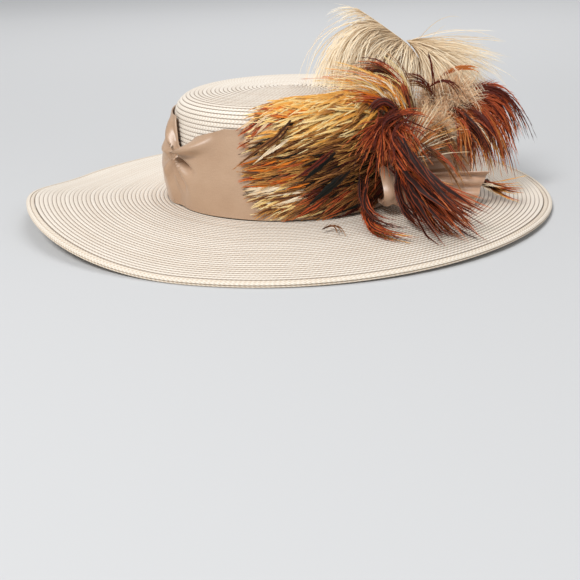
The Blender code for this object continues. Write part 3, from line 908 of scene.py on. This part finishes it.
def hackle_finish(name):
    """Glossy feather: the kind's colours from root to tip, its dark heart, and streaks along its barbs."""
    finish, shader, shade = new_finish(
        name, {"Roughness": 0.42, "Specular IOR Level": 0.14, "Sheen Weight": 0.0, "Sheen Roughness": 0.4},
    )
    places = shade.node("UVMap", {"uv_map": "OFBake"})
    along = places.part(0)
    across, (root, middle, tip, heart_colour, heart_width) = kinds_of(places, [row[1:] for row in HACKLES])
    place = along + across * 0.16
    body = place.between(0.05, 0.40).blend(root, middle)
    body = place.between(0.72, 1.05).blend(body, tip)
    heart = 1.0 - (across - heart_width).between(-0.14, 0.12)
    colour = (heart * 0.92).blend(body, heart_colour)
    streak = shade.noise(places.stretched((150.0, 20.0, 1.0)), 1.0, 3.0)
    patch = shade.noise(places.stretched((14.0, 13.0, 1.0)), 1.0, 2.0)
    shade.feed(shader, "Base Color", colour.brightened(0.30 + streak * 0.95 + patch * 0.50))
    shade.feed(shader, "Roughness", 0.40 + streak * 0.22)
    return finish


hackles = hackle_finish("cock_hackles")

# The pad. Hackles sewn flat to the front of the crown in overlapping rows, their roots at the right and
# their tips at the left, golden above, brown and barred in the middle and darker at the foot.
PAD_ON_BAND = 0.0043
PAD_THICKNESS = 0.0125
PAD_RADIUS = 108  # mm
PAD_RIGHT, PAD_TOP = 86, 97  # the furthest that roots reach, in mm
PAD_ROWS = (
    # kinds, count, tips from x to x and from y to y in mm, heading in degrees, length in mm, half width in mm
    ("brown rust burgundy brown", 90, -8, 72, 0, 15, 204, 44, 1.5),
    ("rust burgundy brown brown", 80, 4, 74, 4, 30, 208, 42, 1.5),
    ("straw_gold tawny brown", 64, -32, 6, 1, 13, 203, 42, 1.4),
    ("cream cream straw_gold brown", 40, -38, -8, 11, 25, 190, 40, 1.5),
    ("tawny orange tawny brown tawny rust", 96, -43, 2, 26, 46, 188, 42, 1.4),
    ("brown tawny brown green_black brown burgundy", 130, -14, 72, 24, 60, 184, 46, 1.3),
    ("brown green_black brown", 26, -42, 6, 32, 58, 203, 46, 1.1),
    ("rusty_tip rusty_tip rust", 20, -44, -27, 56, 70, 206, 32, 1.8),
    ("straw_gold tawny brown tawny brown", 84, -38, 30, 48, 66, 194, 46, 1.4),
    ("tawny brown amber brown", 60, 10, 76, 52, 70, 186, 44, 1.4),
    ("straw_gold amber straw_gold straw_gold tawny", 150, -38, 60, 62, 84, 188, 46, 1.5),
    ("amber straw_gold amber", 90, -22, 70, 78, 93, 178, 46, 1.5),
    ("orange orange amber rust", 34, -28, 2, 76, 87, 177, 36, 1.6),
    ("dark_tip", 5, -40, -33, 20, 26, 186, 34, 2.2),
    ("brown tawny brown", 60, 30, 84, 26, 62, 190, 42, 0.8),
    ("brown green_black brown burgundy", 120, 4, 74, 10, 46, 192, 44, 1.5),
)
PAD_ACCENTS = (
    # kind, root x, root y, tip x, tip y, half width, all in mm
    ("green_black", 36, 54, 8, 32, 2.4),
    ("green_black", 47, 39, 12, 13, 2.2),
    ("green_black", 41, 37, 15, 16, 2.0),
    ("brown", 4, 75, -44, 41, 1.5),
    ("brown", 2, 72, -22, 55, 1.3),
    ("cream", 2, 66, -18, 53, 1.0),
    ("cream", -8, 62, -26, 47, 0.9),
    ("burgundy", 34, 56, 4, 36, 1.8),
    ("rust", 30, 20, 2, 3, 2.0),
    ("green_black", 78, 14, 28, 3, 1.4),
)


def pad_thickness(x, y):
    """Thickness of the pad of feathers, at a place given in mm."""
    up = math.sin(math.pi * (0.06 + 0.88 * min(max(y / 95, 0), 1)))
    along = math.sin(math.pi * (0.10 + 0.55 * min(max((x + 46) / 130, 0), 1)))
    return PAD_THICKNESS * (0.15 + 0.85 * up * along)


def pad_point(x, y, share):
    """A point on the crown's front, x mm round it and y mm up it, at a share of the pad's thickness."""
    angle = math.radians(270) + x / PAD_RADIUS
    return crown_skin(angle, max(y, 0.4) / 1000, PAD_ON_BAND + pad_thickness(x, y) * share)


def pad_hackle(bundle, chance, kind, root, tip, width, low, high):
    """A hackle laid on the pad from root to tip, each in mm, between two shares of the pad's thickness."""
    bow = chance.uniform(-0.05, 0.09)
    points = []
    for step in range(9):
        share = step / 8
        x = root[0] + (tip[0] - root[0]) * share
        y = root[1] + (tip[1] - root[1]) * share
        bend = math.sin(math.pi * share) * bow
        x -= (tip[1] - root[1]) * bend
        y += (tip[0] - root[0]) * bend * -1
        depth = low + (high - low) * share ** 1.5
        points.append(pad_point(x, y, depth))
    middle = points[4]
    face = Vector((middle.x, middle.y, 0)).normalized() + Vector((0, 0, 0.15 if middle.z < 0.08 else 0.8))
    face += Vector((chance.uniform(-0.2, 0.2), 0, chance.uniform(-0.2, 0.2)))
    hackle(bundle, chance, points, face.normalized(), width, kind)


chance = random.Random(11)
pad = Bundle(len(HACKLES))
for kinds, count, x_low, x_high, y_low, y_high, heading, length, half in PAD_ROWS:
    for number in range(count):
        share = (number + chance.random()) / count
        x = x_low + (x_high - x_low) * share
        y = chance.uniform(y_low, y_high)
        turn = math.radians(heading + chance.uniform(-7, 7))
        reach = length * chance.uniform(0.85, 1.15)
        root = (min(x - math.cos(turn) * reach, PAD_RIGHT), min(y - math.sin(turn) * reach, PAD_TOP))
        layer = 0.25 + 0.6 * min(max((x + 45) / 120, 0), 1) + chance.uniform(-0.2, 0.2)
        kind = chance.choice(kinds.split())
        width = half / 1000 * chance.uniform(0.8, 1.15)
        pad_hackle(pad, chance, kind, root, (x, y), width, layer * 0.8, layer + 0.12)
for kind, root_x, root_y, tip_x, tip_y, half in PAD_ACCENTS:
    pad_hackle(pad, chance, kind, (root_x, root_y), (tip_x, tip_y), half / 1000, 1.0, 1.15)
pad_piece = pad.made("pad_hackles")
finished(pad_piece, hackles, "hackle_gold", "hackle_pad")

# The posy. Bundles of hackles are bound at their quills and sewn to the crown at the right: a crest that
# sweeps left over the crown, a spray that falls forwards over the bow, and a cascade that arches right.
# A small feather lies at the right of the brim.
SPRAYS = {
    "crest": (
        # kinds, count, root, middle, tip, spread of roots and of tips, half width, all in mm, way faced
        ("burgundy brown rust", 30, (94, -60, 84), (83, -45, 112), (50, -42, 114), 5, 10, 1.1, (0, -0.6, 0.8)),
        ("burgundy brown", 8, (94, -60, 84), (80, -40, 112), (36, -35, 110), 4, 5, 1.0, (0, -0.6, 0.8)),
        ("amber cream straw_gold amber orange", 84, (89, -66, 83), (72, -55, 105), (30, -50, 106),
         8, 17, 0.65, (0, -0.5, 0.8)),
        ("amber straw_gold cream tawny", 84, (87, -70, 83), (66, -68, 101), (34, -72, 100),
         8, 16, 0.65, (0, -0.6, 0.7)),
        ("orange rust", 14, (88, -71, 82), (68, -78, 98), (44, -82, 96), 4, 8, 1.2, (0, -0.7, 0.6)),
        ("cream straw_gold cream brown", 44, (100, -52, 78), (94, -46, 104), (70, -42, 117),
         6, 13, 0.4, (0, -0.8, 0.5)),
        ("brown burgundy", 10, (122, -30, 78), (112, -30, 103), (88, -32, 104), 4, 7, 0.8, (0, -0.8, 0.5)),
    ),
    "spray": (
        ("black_heart rust black_heart", 30, (80, -94, 68), (102, -124, 38), (132, -154, 18),
         8, 20, 1.8, (0.2, -0.7, 0.7)),
        ("rust black_heart rust", 28, (79, -92, 71), (100, -121, 43), (122, -158, 15),
         8, 22, 1.7, (0.2, -0.7, 0.7)),
        ("rust burnt_orange black_heart", 22, (87, -98, 56), (107, -124, 35), (136, -142, 18),
         9, 22, 1.8, (0.3, -0.7, 0.7)),
        ("raven black_heart burgundy", 24, (83, -98, 56), (101, -128, 30), (124, -168, 15),
         7, 20, 1.8, (0.2, -0.7, 0.7)),
        ("raven raven black_heart", 9, (60, -100, 40), (60, -132, 21), (86, -145, 14),
         5, 8, 1.4, (0, -0.7, 0.7)),
        ("rust tawny black_heart", 10, (61, -102, 26), (65, -142, 14), (94, -168, 13),
         5, 9, 1.3, (0, -0.6, 0.8)),
        ("raven", 5, (85, -104, 46), (88, -128, 24), (106, -144, 14), 3, 8, 1.7, (0, -0.7, 0.7)),
        ("raven", 5, (86, -110, 69), (104, -145, 46), (128, -167, 25), 5, 14, 2.4, (0.1, -0.8, 0.6)),
        ("raven", 5, (93, -112, 61), (111, -144, 45), (137, -160, 26), 5, 12, 2.3, (0.1, -0.8, 0.6)),
        ("raven", 4, (86, -113, 55), (98, -147, 36), (119, -174, 19), 5, 13, 2.3, (0.1, -0.8, 0.6)),
        ("rust rust burgundy", 56, (80, -82, 83), (67, -99, 76), (58, -110, 62), 12, 20, 0.45, (0, -0.9, 0.3)),
        ("rust rust burgundy", 60, (81, -82, 80), (75, -101, 68), (76, -112, 54), 14, 22, 0.5, (0, -0.9, 0.3)),
        ("rust burnt_orange rust burgundy", 50, (84, -80, 79), (92, -95, 69), (95, -108, 54),
         14, 22, 0.5, (0, -0.9, 0.3)),
        ("burnt_orange cream rust", 34, (97, -84, 52), (100, -80, 68), (114, -62, 82),
         6, 14, 0.4, (0, -0.9, 0.4)),
        ("burnt_orange cream tawny", 34, (98, -84, 51), (107, -77, 66), (130, -60, 73),
         6, 14, 0.4, (0, -0.9, 0.4)),
        ("cream burnt_orange", 18, (98, -84, 50), (111, -80, 58), (135, -66, 60), 6, 14, 0.4, (0, -0.9, 0.4)),
        ("brown black_heart", 12, (122, -54, 73), (131, -74, 54), (143, -82, 33), 6, 10, 0.9, (0.3, -0.8, 0.4)),
        ("brown rust", 9, (108, -87, 60), (125, -95, 47), (136, -102, 28), 7, 12, 0.9, (0.3, -0.8, 0.4)),
        ("burgundy", 5, (90, -76, 84), (74, -90, 98), (60, -102, 87), 2, 3, 2.2, (0, -0.8, 0.6)),
        ("burgundy", 4, (92, -76, 85), (80, -92, 86), (67, -104, 78), 2, 3, 2.2, (0, -0.8, 0.6)),
        ("burgundy rust", 8, (80, -84, 86), (96, -80, 88), (112, -76, 83), 3, 6, 0.8, (0, -0.8, 0.6)),
        ("brown", 3, (25, -137, 13), (35, -133, 14), (39, -152, 12), 1, 3, 0.8, (0, -0.4, 0.9)),
    ),
    "cascade": (
        ("burgundy rust burgundy", 34, (140, -10, 84), (178, -10, 88), (199, -20, 46),
         7, 12, 1.1, (0.2, -0.8, 0.6)),
        ("rust burgundy rust", 40, (140, -12, 83), (172, -20, 80), (188, -30, 34),
         7, 13, 1.1, (0.2, -0.8, 0.6)),
        ("rust burnt_orange black_heart", 40, (140, -18, 82), (167, -34, 69), (180, -42, 21),
         7, 13, 1.1, (0.2, -0.8, 0.6)),
        ("burnt_orange rust tawny", 30, (136, -24, 80), (156, -45, 66), (166, -52, 26),
         7, 12, 1.0, (0.2, -0.8, 0.6)),
        ("burnt_orange cream rust", 34, (132, -28, 78), (148, -48, 70), (158, -56, 44),
         7, 14, 0.5, (0.2, -0.8, 0.5)),
        ("raven black_heart burgundy", 16, (143, -24, 84), (160, -50, 69), (162, -60, 42),
         6, 8, 1.3, (0.2, -0.8, 0.5)),
        ("rust burnt_orange black_heart brown", 40, (134, -30, 78), (145, -55, 66), (149, -64, 36),
         10, 18, 0.9, (0.2, -0.8, 0.5)),
        ("raven", 12, (134, -36, 79), (151, -60, 68), (157, -68, 42), 6, 9, 1.4, (0.2, -0.8, 0.5)),
        ("burgundy", 3, (117, -35, 99), (134, -37, 103), (147, -40, 84), 1, 4, 0.7, (0, -0.9, 0.3)),
        ("burgundy", 2, (116, -33, 126), (120, -35, 103), (118, -36, 76), 1, 2, 0.6, (0, -0.9, 0.3)),
        ("burnt_orange", 2, (128, -20, 105), (146, -20, 111), (163, -20, 106), 1, 2, 1.4, (0, -1, 0.2)),
    ),
    "side": (
        ("tawny amber rust", 16, (164, -36, 19), (174, -62, 20), (190, -70, 20), 4, 8, 1.0, (0, -0.4, 0.9)),
        ("brown cream brown", 10, (163, -38, 19), (168, -56, 19), (178, -70, 18), 3, 5, 1.4, (0, -0.4, 0.9)),
    ),
}
LOWEST = 0.0012


def above_brim(point):
    """The point, lifted to lie on the brim if it was in it."""
    turn = turn_of(point)
    inner = oval(CROWN_WIDTH, CROWN_DEPTH, turn, STRAW).length
    outer = oval(BRIM_WIDTH, BRIM_DEPTH, turn, -EDGE_BRAID_WIDTH).length
    share = (point.xy.length - inner) / (outer - inner)
    if 0 < share < 1:
        point.z = max(point.z, brim_top(turn, share).z + LAP_HEIGHT + LOWEST)
    return point


def scatter(chance, spread):
    """A random step with the same spread along each axis."""
    return Vector([chance.gauss(0, spread) for axis in range(3)])


def from_mm(values):
    """A vector from its parts in mm."""
    return Vector([value / 1000 for value in values])


def lay_hackles(bundle, chance, rows):
    """Adds the feathers of a table of bundles, each on a bent line from root to tip."""
    for kinds, count, root, middle, tip, root_spread, tip_spread, half, faced in rows:
        for number in range(count):
            start = from_mm(root) + scatter(chance, root_spread / 2000)
            wander = scatter(chance, tip_spread / 2000)
            end = from_mm(tip) + wander
            bend = (from_mm(middle) + wander * 0.5) * 2 - (start + end) / 2
            cut = chance.uniform(0.78, 1.0)
            line = []
            for step in range(9):
                share = step / 8 * cut
                point = start * (1 - share) ** 2 + bend * (2 * share * (1 - share)) + end * share ** 2
                line.append(above_brim(point))
            face = Vector(faced) + Vector([chance.uniform(-0.3, 0.3) for axis in range(3)])
            width = half / 1000 * chance.uniform(0.75, 1.2)
            hackle(bundle, chance, line, face.normalized(), width, chance.choice(kinds.split()), barbs=8)


for name, node, slot_name in (
    ("crest", "hackle_crest", "hackle_gold"),
    ("spray", "hackle_spray", "hackle_rust"),
    ("cascade", "hackle_cascade", "hackle_rust"),
    ("side", "side_feather", "hackle_rust"),
):
    bundle = Bundle(len(HACKLES))
    lay_hackles(bundle, chance, SPRAYS[name])
    finished(bundle.made(name + "_hackles"), hackles, slot_name, node)

# The plumes. Two champagne plumes on bent quills, stripped to long loose strands: one curls over to the
# left, the other droops to the right. A tuft of crinkled flue hides their feet.
FLUES = (
    # root, middle, tip
    ((0.72, 0.54, 0.34), (0.90, 0.77, 0.57), (0.94, 0.86, 0.70)),
    ((0.56, 0.39, 0.22), (0.80, 0.63, 0.42), (0.90, 0.77, 0.57)),
    ((0.20, 0.09, 0.045), (0.26, 0.12, 0.06), (0.44, 0.26, 0.13)),
    ((0.50, 0.27, 0.13), (0.82, 0.51, 0.28), (0.94, 0.68, 0.43)),
)
PLUME_SPREAD = (1.0, 1.9, 1.0)
QUILL_HALVES = (0.0007, 0.0009)
QUILL = (
    (0.121, 0.000, 0.072),
    (0.120, 0.005, 0.099),
    (0.108, 0.005, 0.124),
    (0.084, 0.000, 0.144),
    (0.057, -0.005, 0.163),
)
RIGHT_QUILL = (
    (0.124, 0.004, 0.072),
    (0.124, 0.008, 0.098),
    (0.117, 0.009, 0.117),
    (0.103, 0.006, 0.132),
)


def flue_finish(name):
    """Soft pale strands, darker at the root, each strand a little different."""
    finish, shader, shade = new_finish(
        name, {"Roughness": 0.6, "Specular IOR Level": 0.25, "Sheen Weight": 0.1, "Sheen Roughness": 0.5},
    )
    places = shade.node("UVMap", {"uv_map": "OFBake"})
    along = places.part(0)
    across, (root, middle, tip) = kinds_of(places, FLUES)
    colour = across.between(0.0, 0.45).blend(root, middle)
    colour = across.between(0.55, 1.0).blend(colour, tip)
    tone = 0.84 + shade.noise(places.stretched((120.0, 10.0, 1.0)), 1.0, 2.0) * 0.44
    shade.feed(shader, "Base Color", colour.brightened(tone))
    shade.feed(shader, "Roughness", 0.5 + along * 0.15)
    return finish


def strand(bundle, chance, foot, way, length, curl, kind, half=0.00022, steps=8, crinkle=0.0):
    """A thin strand that starts one way and is bent by curl, which is added at every step."""
    line = [foot]
    way = way.normalized()
    for step in range(steps):
        way = (way + curl * (1 / steps) + scatter(chance, crinkle)).normalized()
        line.append(line[-1] + way * (length / steps))
    face = Vector((chance.uniform(-0.4, 0.4), -1, chance.uniform(-0.2, 0.6)))
    side = (line[-1] - foot).cross(face).normalized()
    widths = [half * (1 - 0.55 * index / steps) for index in range(steps + 1)]
    bundle.strip(line, side, widths, chance.uniform(0.03, 0.97), kind)


def lay_strands(bundle, chance, path, sweeps, pushes, kinds, halves):
    """Adds the strands of a table of sweeps, each from a random place on its stretch of the quill."""
    for count, low, high, way, spread, push, shortest, longest in sweeps:
        for number in range(count):
            foot = curve_point(path, chance.uniform(low, high))
            wander = Vector([chance.gauss(0, spread) * wide for wide in PLUME_SPREAD])
            pushed = Vector(push) * chance.uniform(*pushes)
            length = chance.uniform(shortest, longest)
            kind = chance.choice(kinds)
            strand(bundle, chance, foot, Vector(way) + wander, length, pushed, kind, chance.uniform(*halves))


def quill_strip(bundle, path, half, kind):
    """A bent quill as two crossed strips."""
    line = [curve_point(path, step / 4) for step in range(4 * (len(path) - 1) + 1)]
    widths = [half * (1 - 0.75 * index / len(line)) for index in range(len(line))]
    bundle.strip(line, Vector((1, 0, 0.4)).normalized(), widths, 0.3, kind)
    bundle.strip(line, Vector((0, 1, 0)), widths, 0.6, kind)


flue = flue_finish("champagne_plume")
chance = random.Random(23)
left_plume = Bundle(len(FLUES))
path = [Vector(row) for row in QUILL]
quill_strip(left_plume, path, QUILL_HALVES[0], 1)
LEFT_SWEEPS = (
    # count, from and to along the quill, first way, spread, push, least and most length
    (1350, 2.1, 3.1, (-0.94, 0.0, 0.30), 0.10, (1.60, -0.10, -3.00), 0.076, 0.112),
    (190, 1.6, 2.6, (-0.90, 0.0, 0.16), 0.16, (0.80, -0.05, -2.00), 0.036, 0.062),
    (200, 1.4, 2.4, (-0.30, -0.3, -0.60), 0.24, (-0.10, 0.0, -0.80), 0.026, 0.046),
    (60, 2.8, 3.8, (-0.85, 0.0, 0.30), 0.12, (0.10, 0.0, -0.90), 0.014, 0.036),
)
lay_strands(left_plume, chance, path, LEFT_SWEEPS, (0.6, 1.3), (0, 0, 0, 1), (0.00020, 0.00042))
for number in range(26):
    foot = curve_point(path, 2.0 + 0.6 * chance.random())
    way = Vector((chance.gauss(-0.1, 0.2), -0.3, -1))
    strand(left_plume, chance, foot, way, chance.uniform(0.02, 0.034), Vector((0, 0, -0.6)), 2, 0.0004)
finished(left_plume.made("plume_left_strands"), flue, "plume_flue", "plume_left")

right_plume = Bundle(len(FLUES))
path = [Vector(row) for row in RIGHT_QUILL]
quill_strip(right_plume, path, QUILL_HALVES[1], 0)
RIGHT_SWEEPS = (
    # count, from and to along the quill, first way, spread, push, least and most length
    (140, 2.4, 3.0, (0.95, 0.1, -0.02), 0.13, (0.10, 0.0, -0.45), 0.056, 0.084),
    (520, 1.9, 3.0, (0.92, 0.1, -0.08), 0.20, (-0.30, 0.0, -1.70), 0.062, 0.098),
    (680, 1.2, 2.8, (0.80, 0.0, -0.24), 0.26, (-0.20, -0.1, -1.60), 0.048, 0.080),
    (360, 0.4, 2.2, (0.45, -0.2, -0.20), 0.34, (0.0, 0.0, -0.90), 0.026, 0.050),
)
lay_strands(right_plume, chance, path, RIGHT_SWEEPS, (0.5, 1.3), (0, 1, 1), (0.00016, 0.00034))
finished(right_plume.made("plume_right_strands"), flue, "plume_flue", "plume_right")

tuft = Bundle(len(FLUES))
TUFT_HALF, CRINKLE = 0.00017, 0.22
TUFTS = (
    # middle, size, count, least and most length
    ((0.124, -0.022, 0.070), (0.014, 0.013, 0.012), 3000, 0.012, 0.026),
    ((0.136, -0.022, 0.087), (0.016, 0.009, 0.011), 2600, 0.010, 0.022),
    ((0.118, -0.048, 0.066), (0.014, 0.010, 0.010), 2000, 0.009, 0.020),
)
for middle, size, count, shortest, longest in TUFTS:
    for number in range(count):
        turn = chance.uniform(0, math.tau)
        up = chance.uniform(-0.55, 1.0)
        level = math.sqrt(max(1 - up * up, 0))
        way = Vector((math.cos(turn) * level, math.sin(turn) * level, up))
        foot = Vector(middle) + Vector([way[axis] * size[axis] for axis in range(3)]) * chance.uniform(0.3, 1.0)
        curl = Vector((chance.gauss(0, 0.8), chance.gauss(0, 0.8), chance.gauss(-0.3, 0.8)))
        kind = chance.choice((3, 3, 1, 3, 3, 1, 2))
        strand(tuft, chance, foot, way, chance.uniform(shortest, longest), curl, kind, TUFT_HALF, 6, CRINKLE)
finished(tuft.made("crinkled_flue"), flue, "plume_flue", "flue_tuft")

# The floor, the light and the view. The floor is pale and matt and runs back out of sight, with a painted falloff
# of light: darker around the hat and paler further back. The light is soft: one lamp at the front left, a weak one
# at the right and one above.
bpy.ops.object.select_all(action="DESELECT")
bpy.ops.mesh.primitive_plane_add(size=16, location=(0, 4, 0))
floor = bpy.context.object
floor.name = "floor"
floor_finish, floor_shader, floor_shade = new_finish("pale_floor", {"Roughness": 0.9, "Specular IOR Level": 0.1})
floor_place = floor_shade.node("TexCoord", output=3)
floor_cloud = floor_shade.noise(floor_place, 0.7, 2.0) * 0.1
floor_depth = floor_place.part(1)
# Painted light: darker grey around the hat, paler from about 2.2 m behind it; the faint mottling is the floor's own.
floor_mottle_and_painted_falloff = (floor_depth + 4.0).between(0.0, 2.2) + floor_cloud
floor_shade.feed(floor_shader, "Base Color", floor_mottle_and_painted_falloff.blend((0.56, 0.565, 0.57), (0.86, 0.865, 0.87)))
floor.data.materials.append(floor_finish)

LAMPS = (
    # name, place, aim, width, power
    ("key_light", (-0.9, -1.5, 1.9), (0.0, 0.0, 0.05), 0.9, 47.0),
    ("fill_light", (1.7, -1.0, 1.3), (0.0, 0.0, 0.05), 1.6, 4.0),
    ("top_light", (0.2, 0.9, 2.1), (0.0, 0.0, 0.05), 1.6, 16.5),
)
for name, place, aim, width, power in LAMPS:
    bpy.ops.object.light_add(type="AREA", location=place)
    lamp = bpy.context.object
    lamp.name = name
    lamp.data.shape = "DISK"
    lamp.data.size = width
    lamp.data.energy = power
    lamp.rotation_euler = (Vector(aim) - Vector(place)).to_track_quat("-Z", "Y").to_euler()
world = bpy.data.worlds.new("studio")
bpy.context.scene.world = world
world.use_nodes = True
world.node_tree.nodes["Background"].inputs["Color"].default_value = (0.97, 0.98, 1.0, 1.0)
world.node_tree.nodes["Background"].inputs["Strength"].default_value = 0.42

VIEW_PLACE = Vector((0.0074, -0.8165, 0.2271))
VIEW_DOWN, VIEW_TURN, VIEW_ROLL = math.radians(21.08), math.radians(-0.71), math.radians(2.06)
VIEW_LENS = 58.97
bpy.context.scene.view_settings.view_transform = "Standard"
ahead = Vector((
    math.sin(VIEW_TURN) * math.cos(VIEW_DOWN),
    math.cos(VIEW_TURN) * math.cos(VIEW_DOWN),
    -math.sin(VIEW_DOWN),
))
level = Vector((math.cos(VIEW_TURN), -math.sin(VIEW_TURN), 0))
upright = level.cross(ahead)
right = level * math.cos(VIEW_ROLL) - upright * math.sin(VIEW_ROLL)
upward = level * math.sin(VIEW_ROLL) + upright * math.cos(VIEW_ROLL)
camera_data = bpy.data.cameras.new("view")
camera_data.lens = VIEW_LENS
camera_data.sensor_width = 36
camera_data.clip_end = 50
camera = add_piece("view", camera_data)
turned_axes = Matrix((right, upward, -ahead)).transposed().to_4x4()
camera.matrix_world = Matrix.Translation(VIEW_PLACE) @ turned_axes
bpy.context.scene.camera = camera
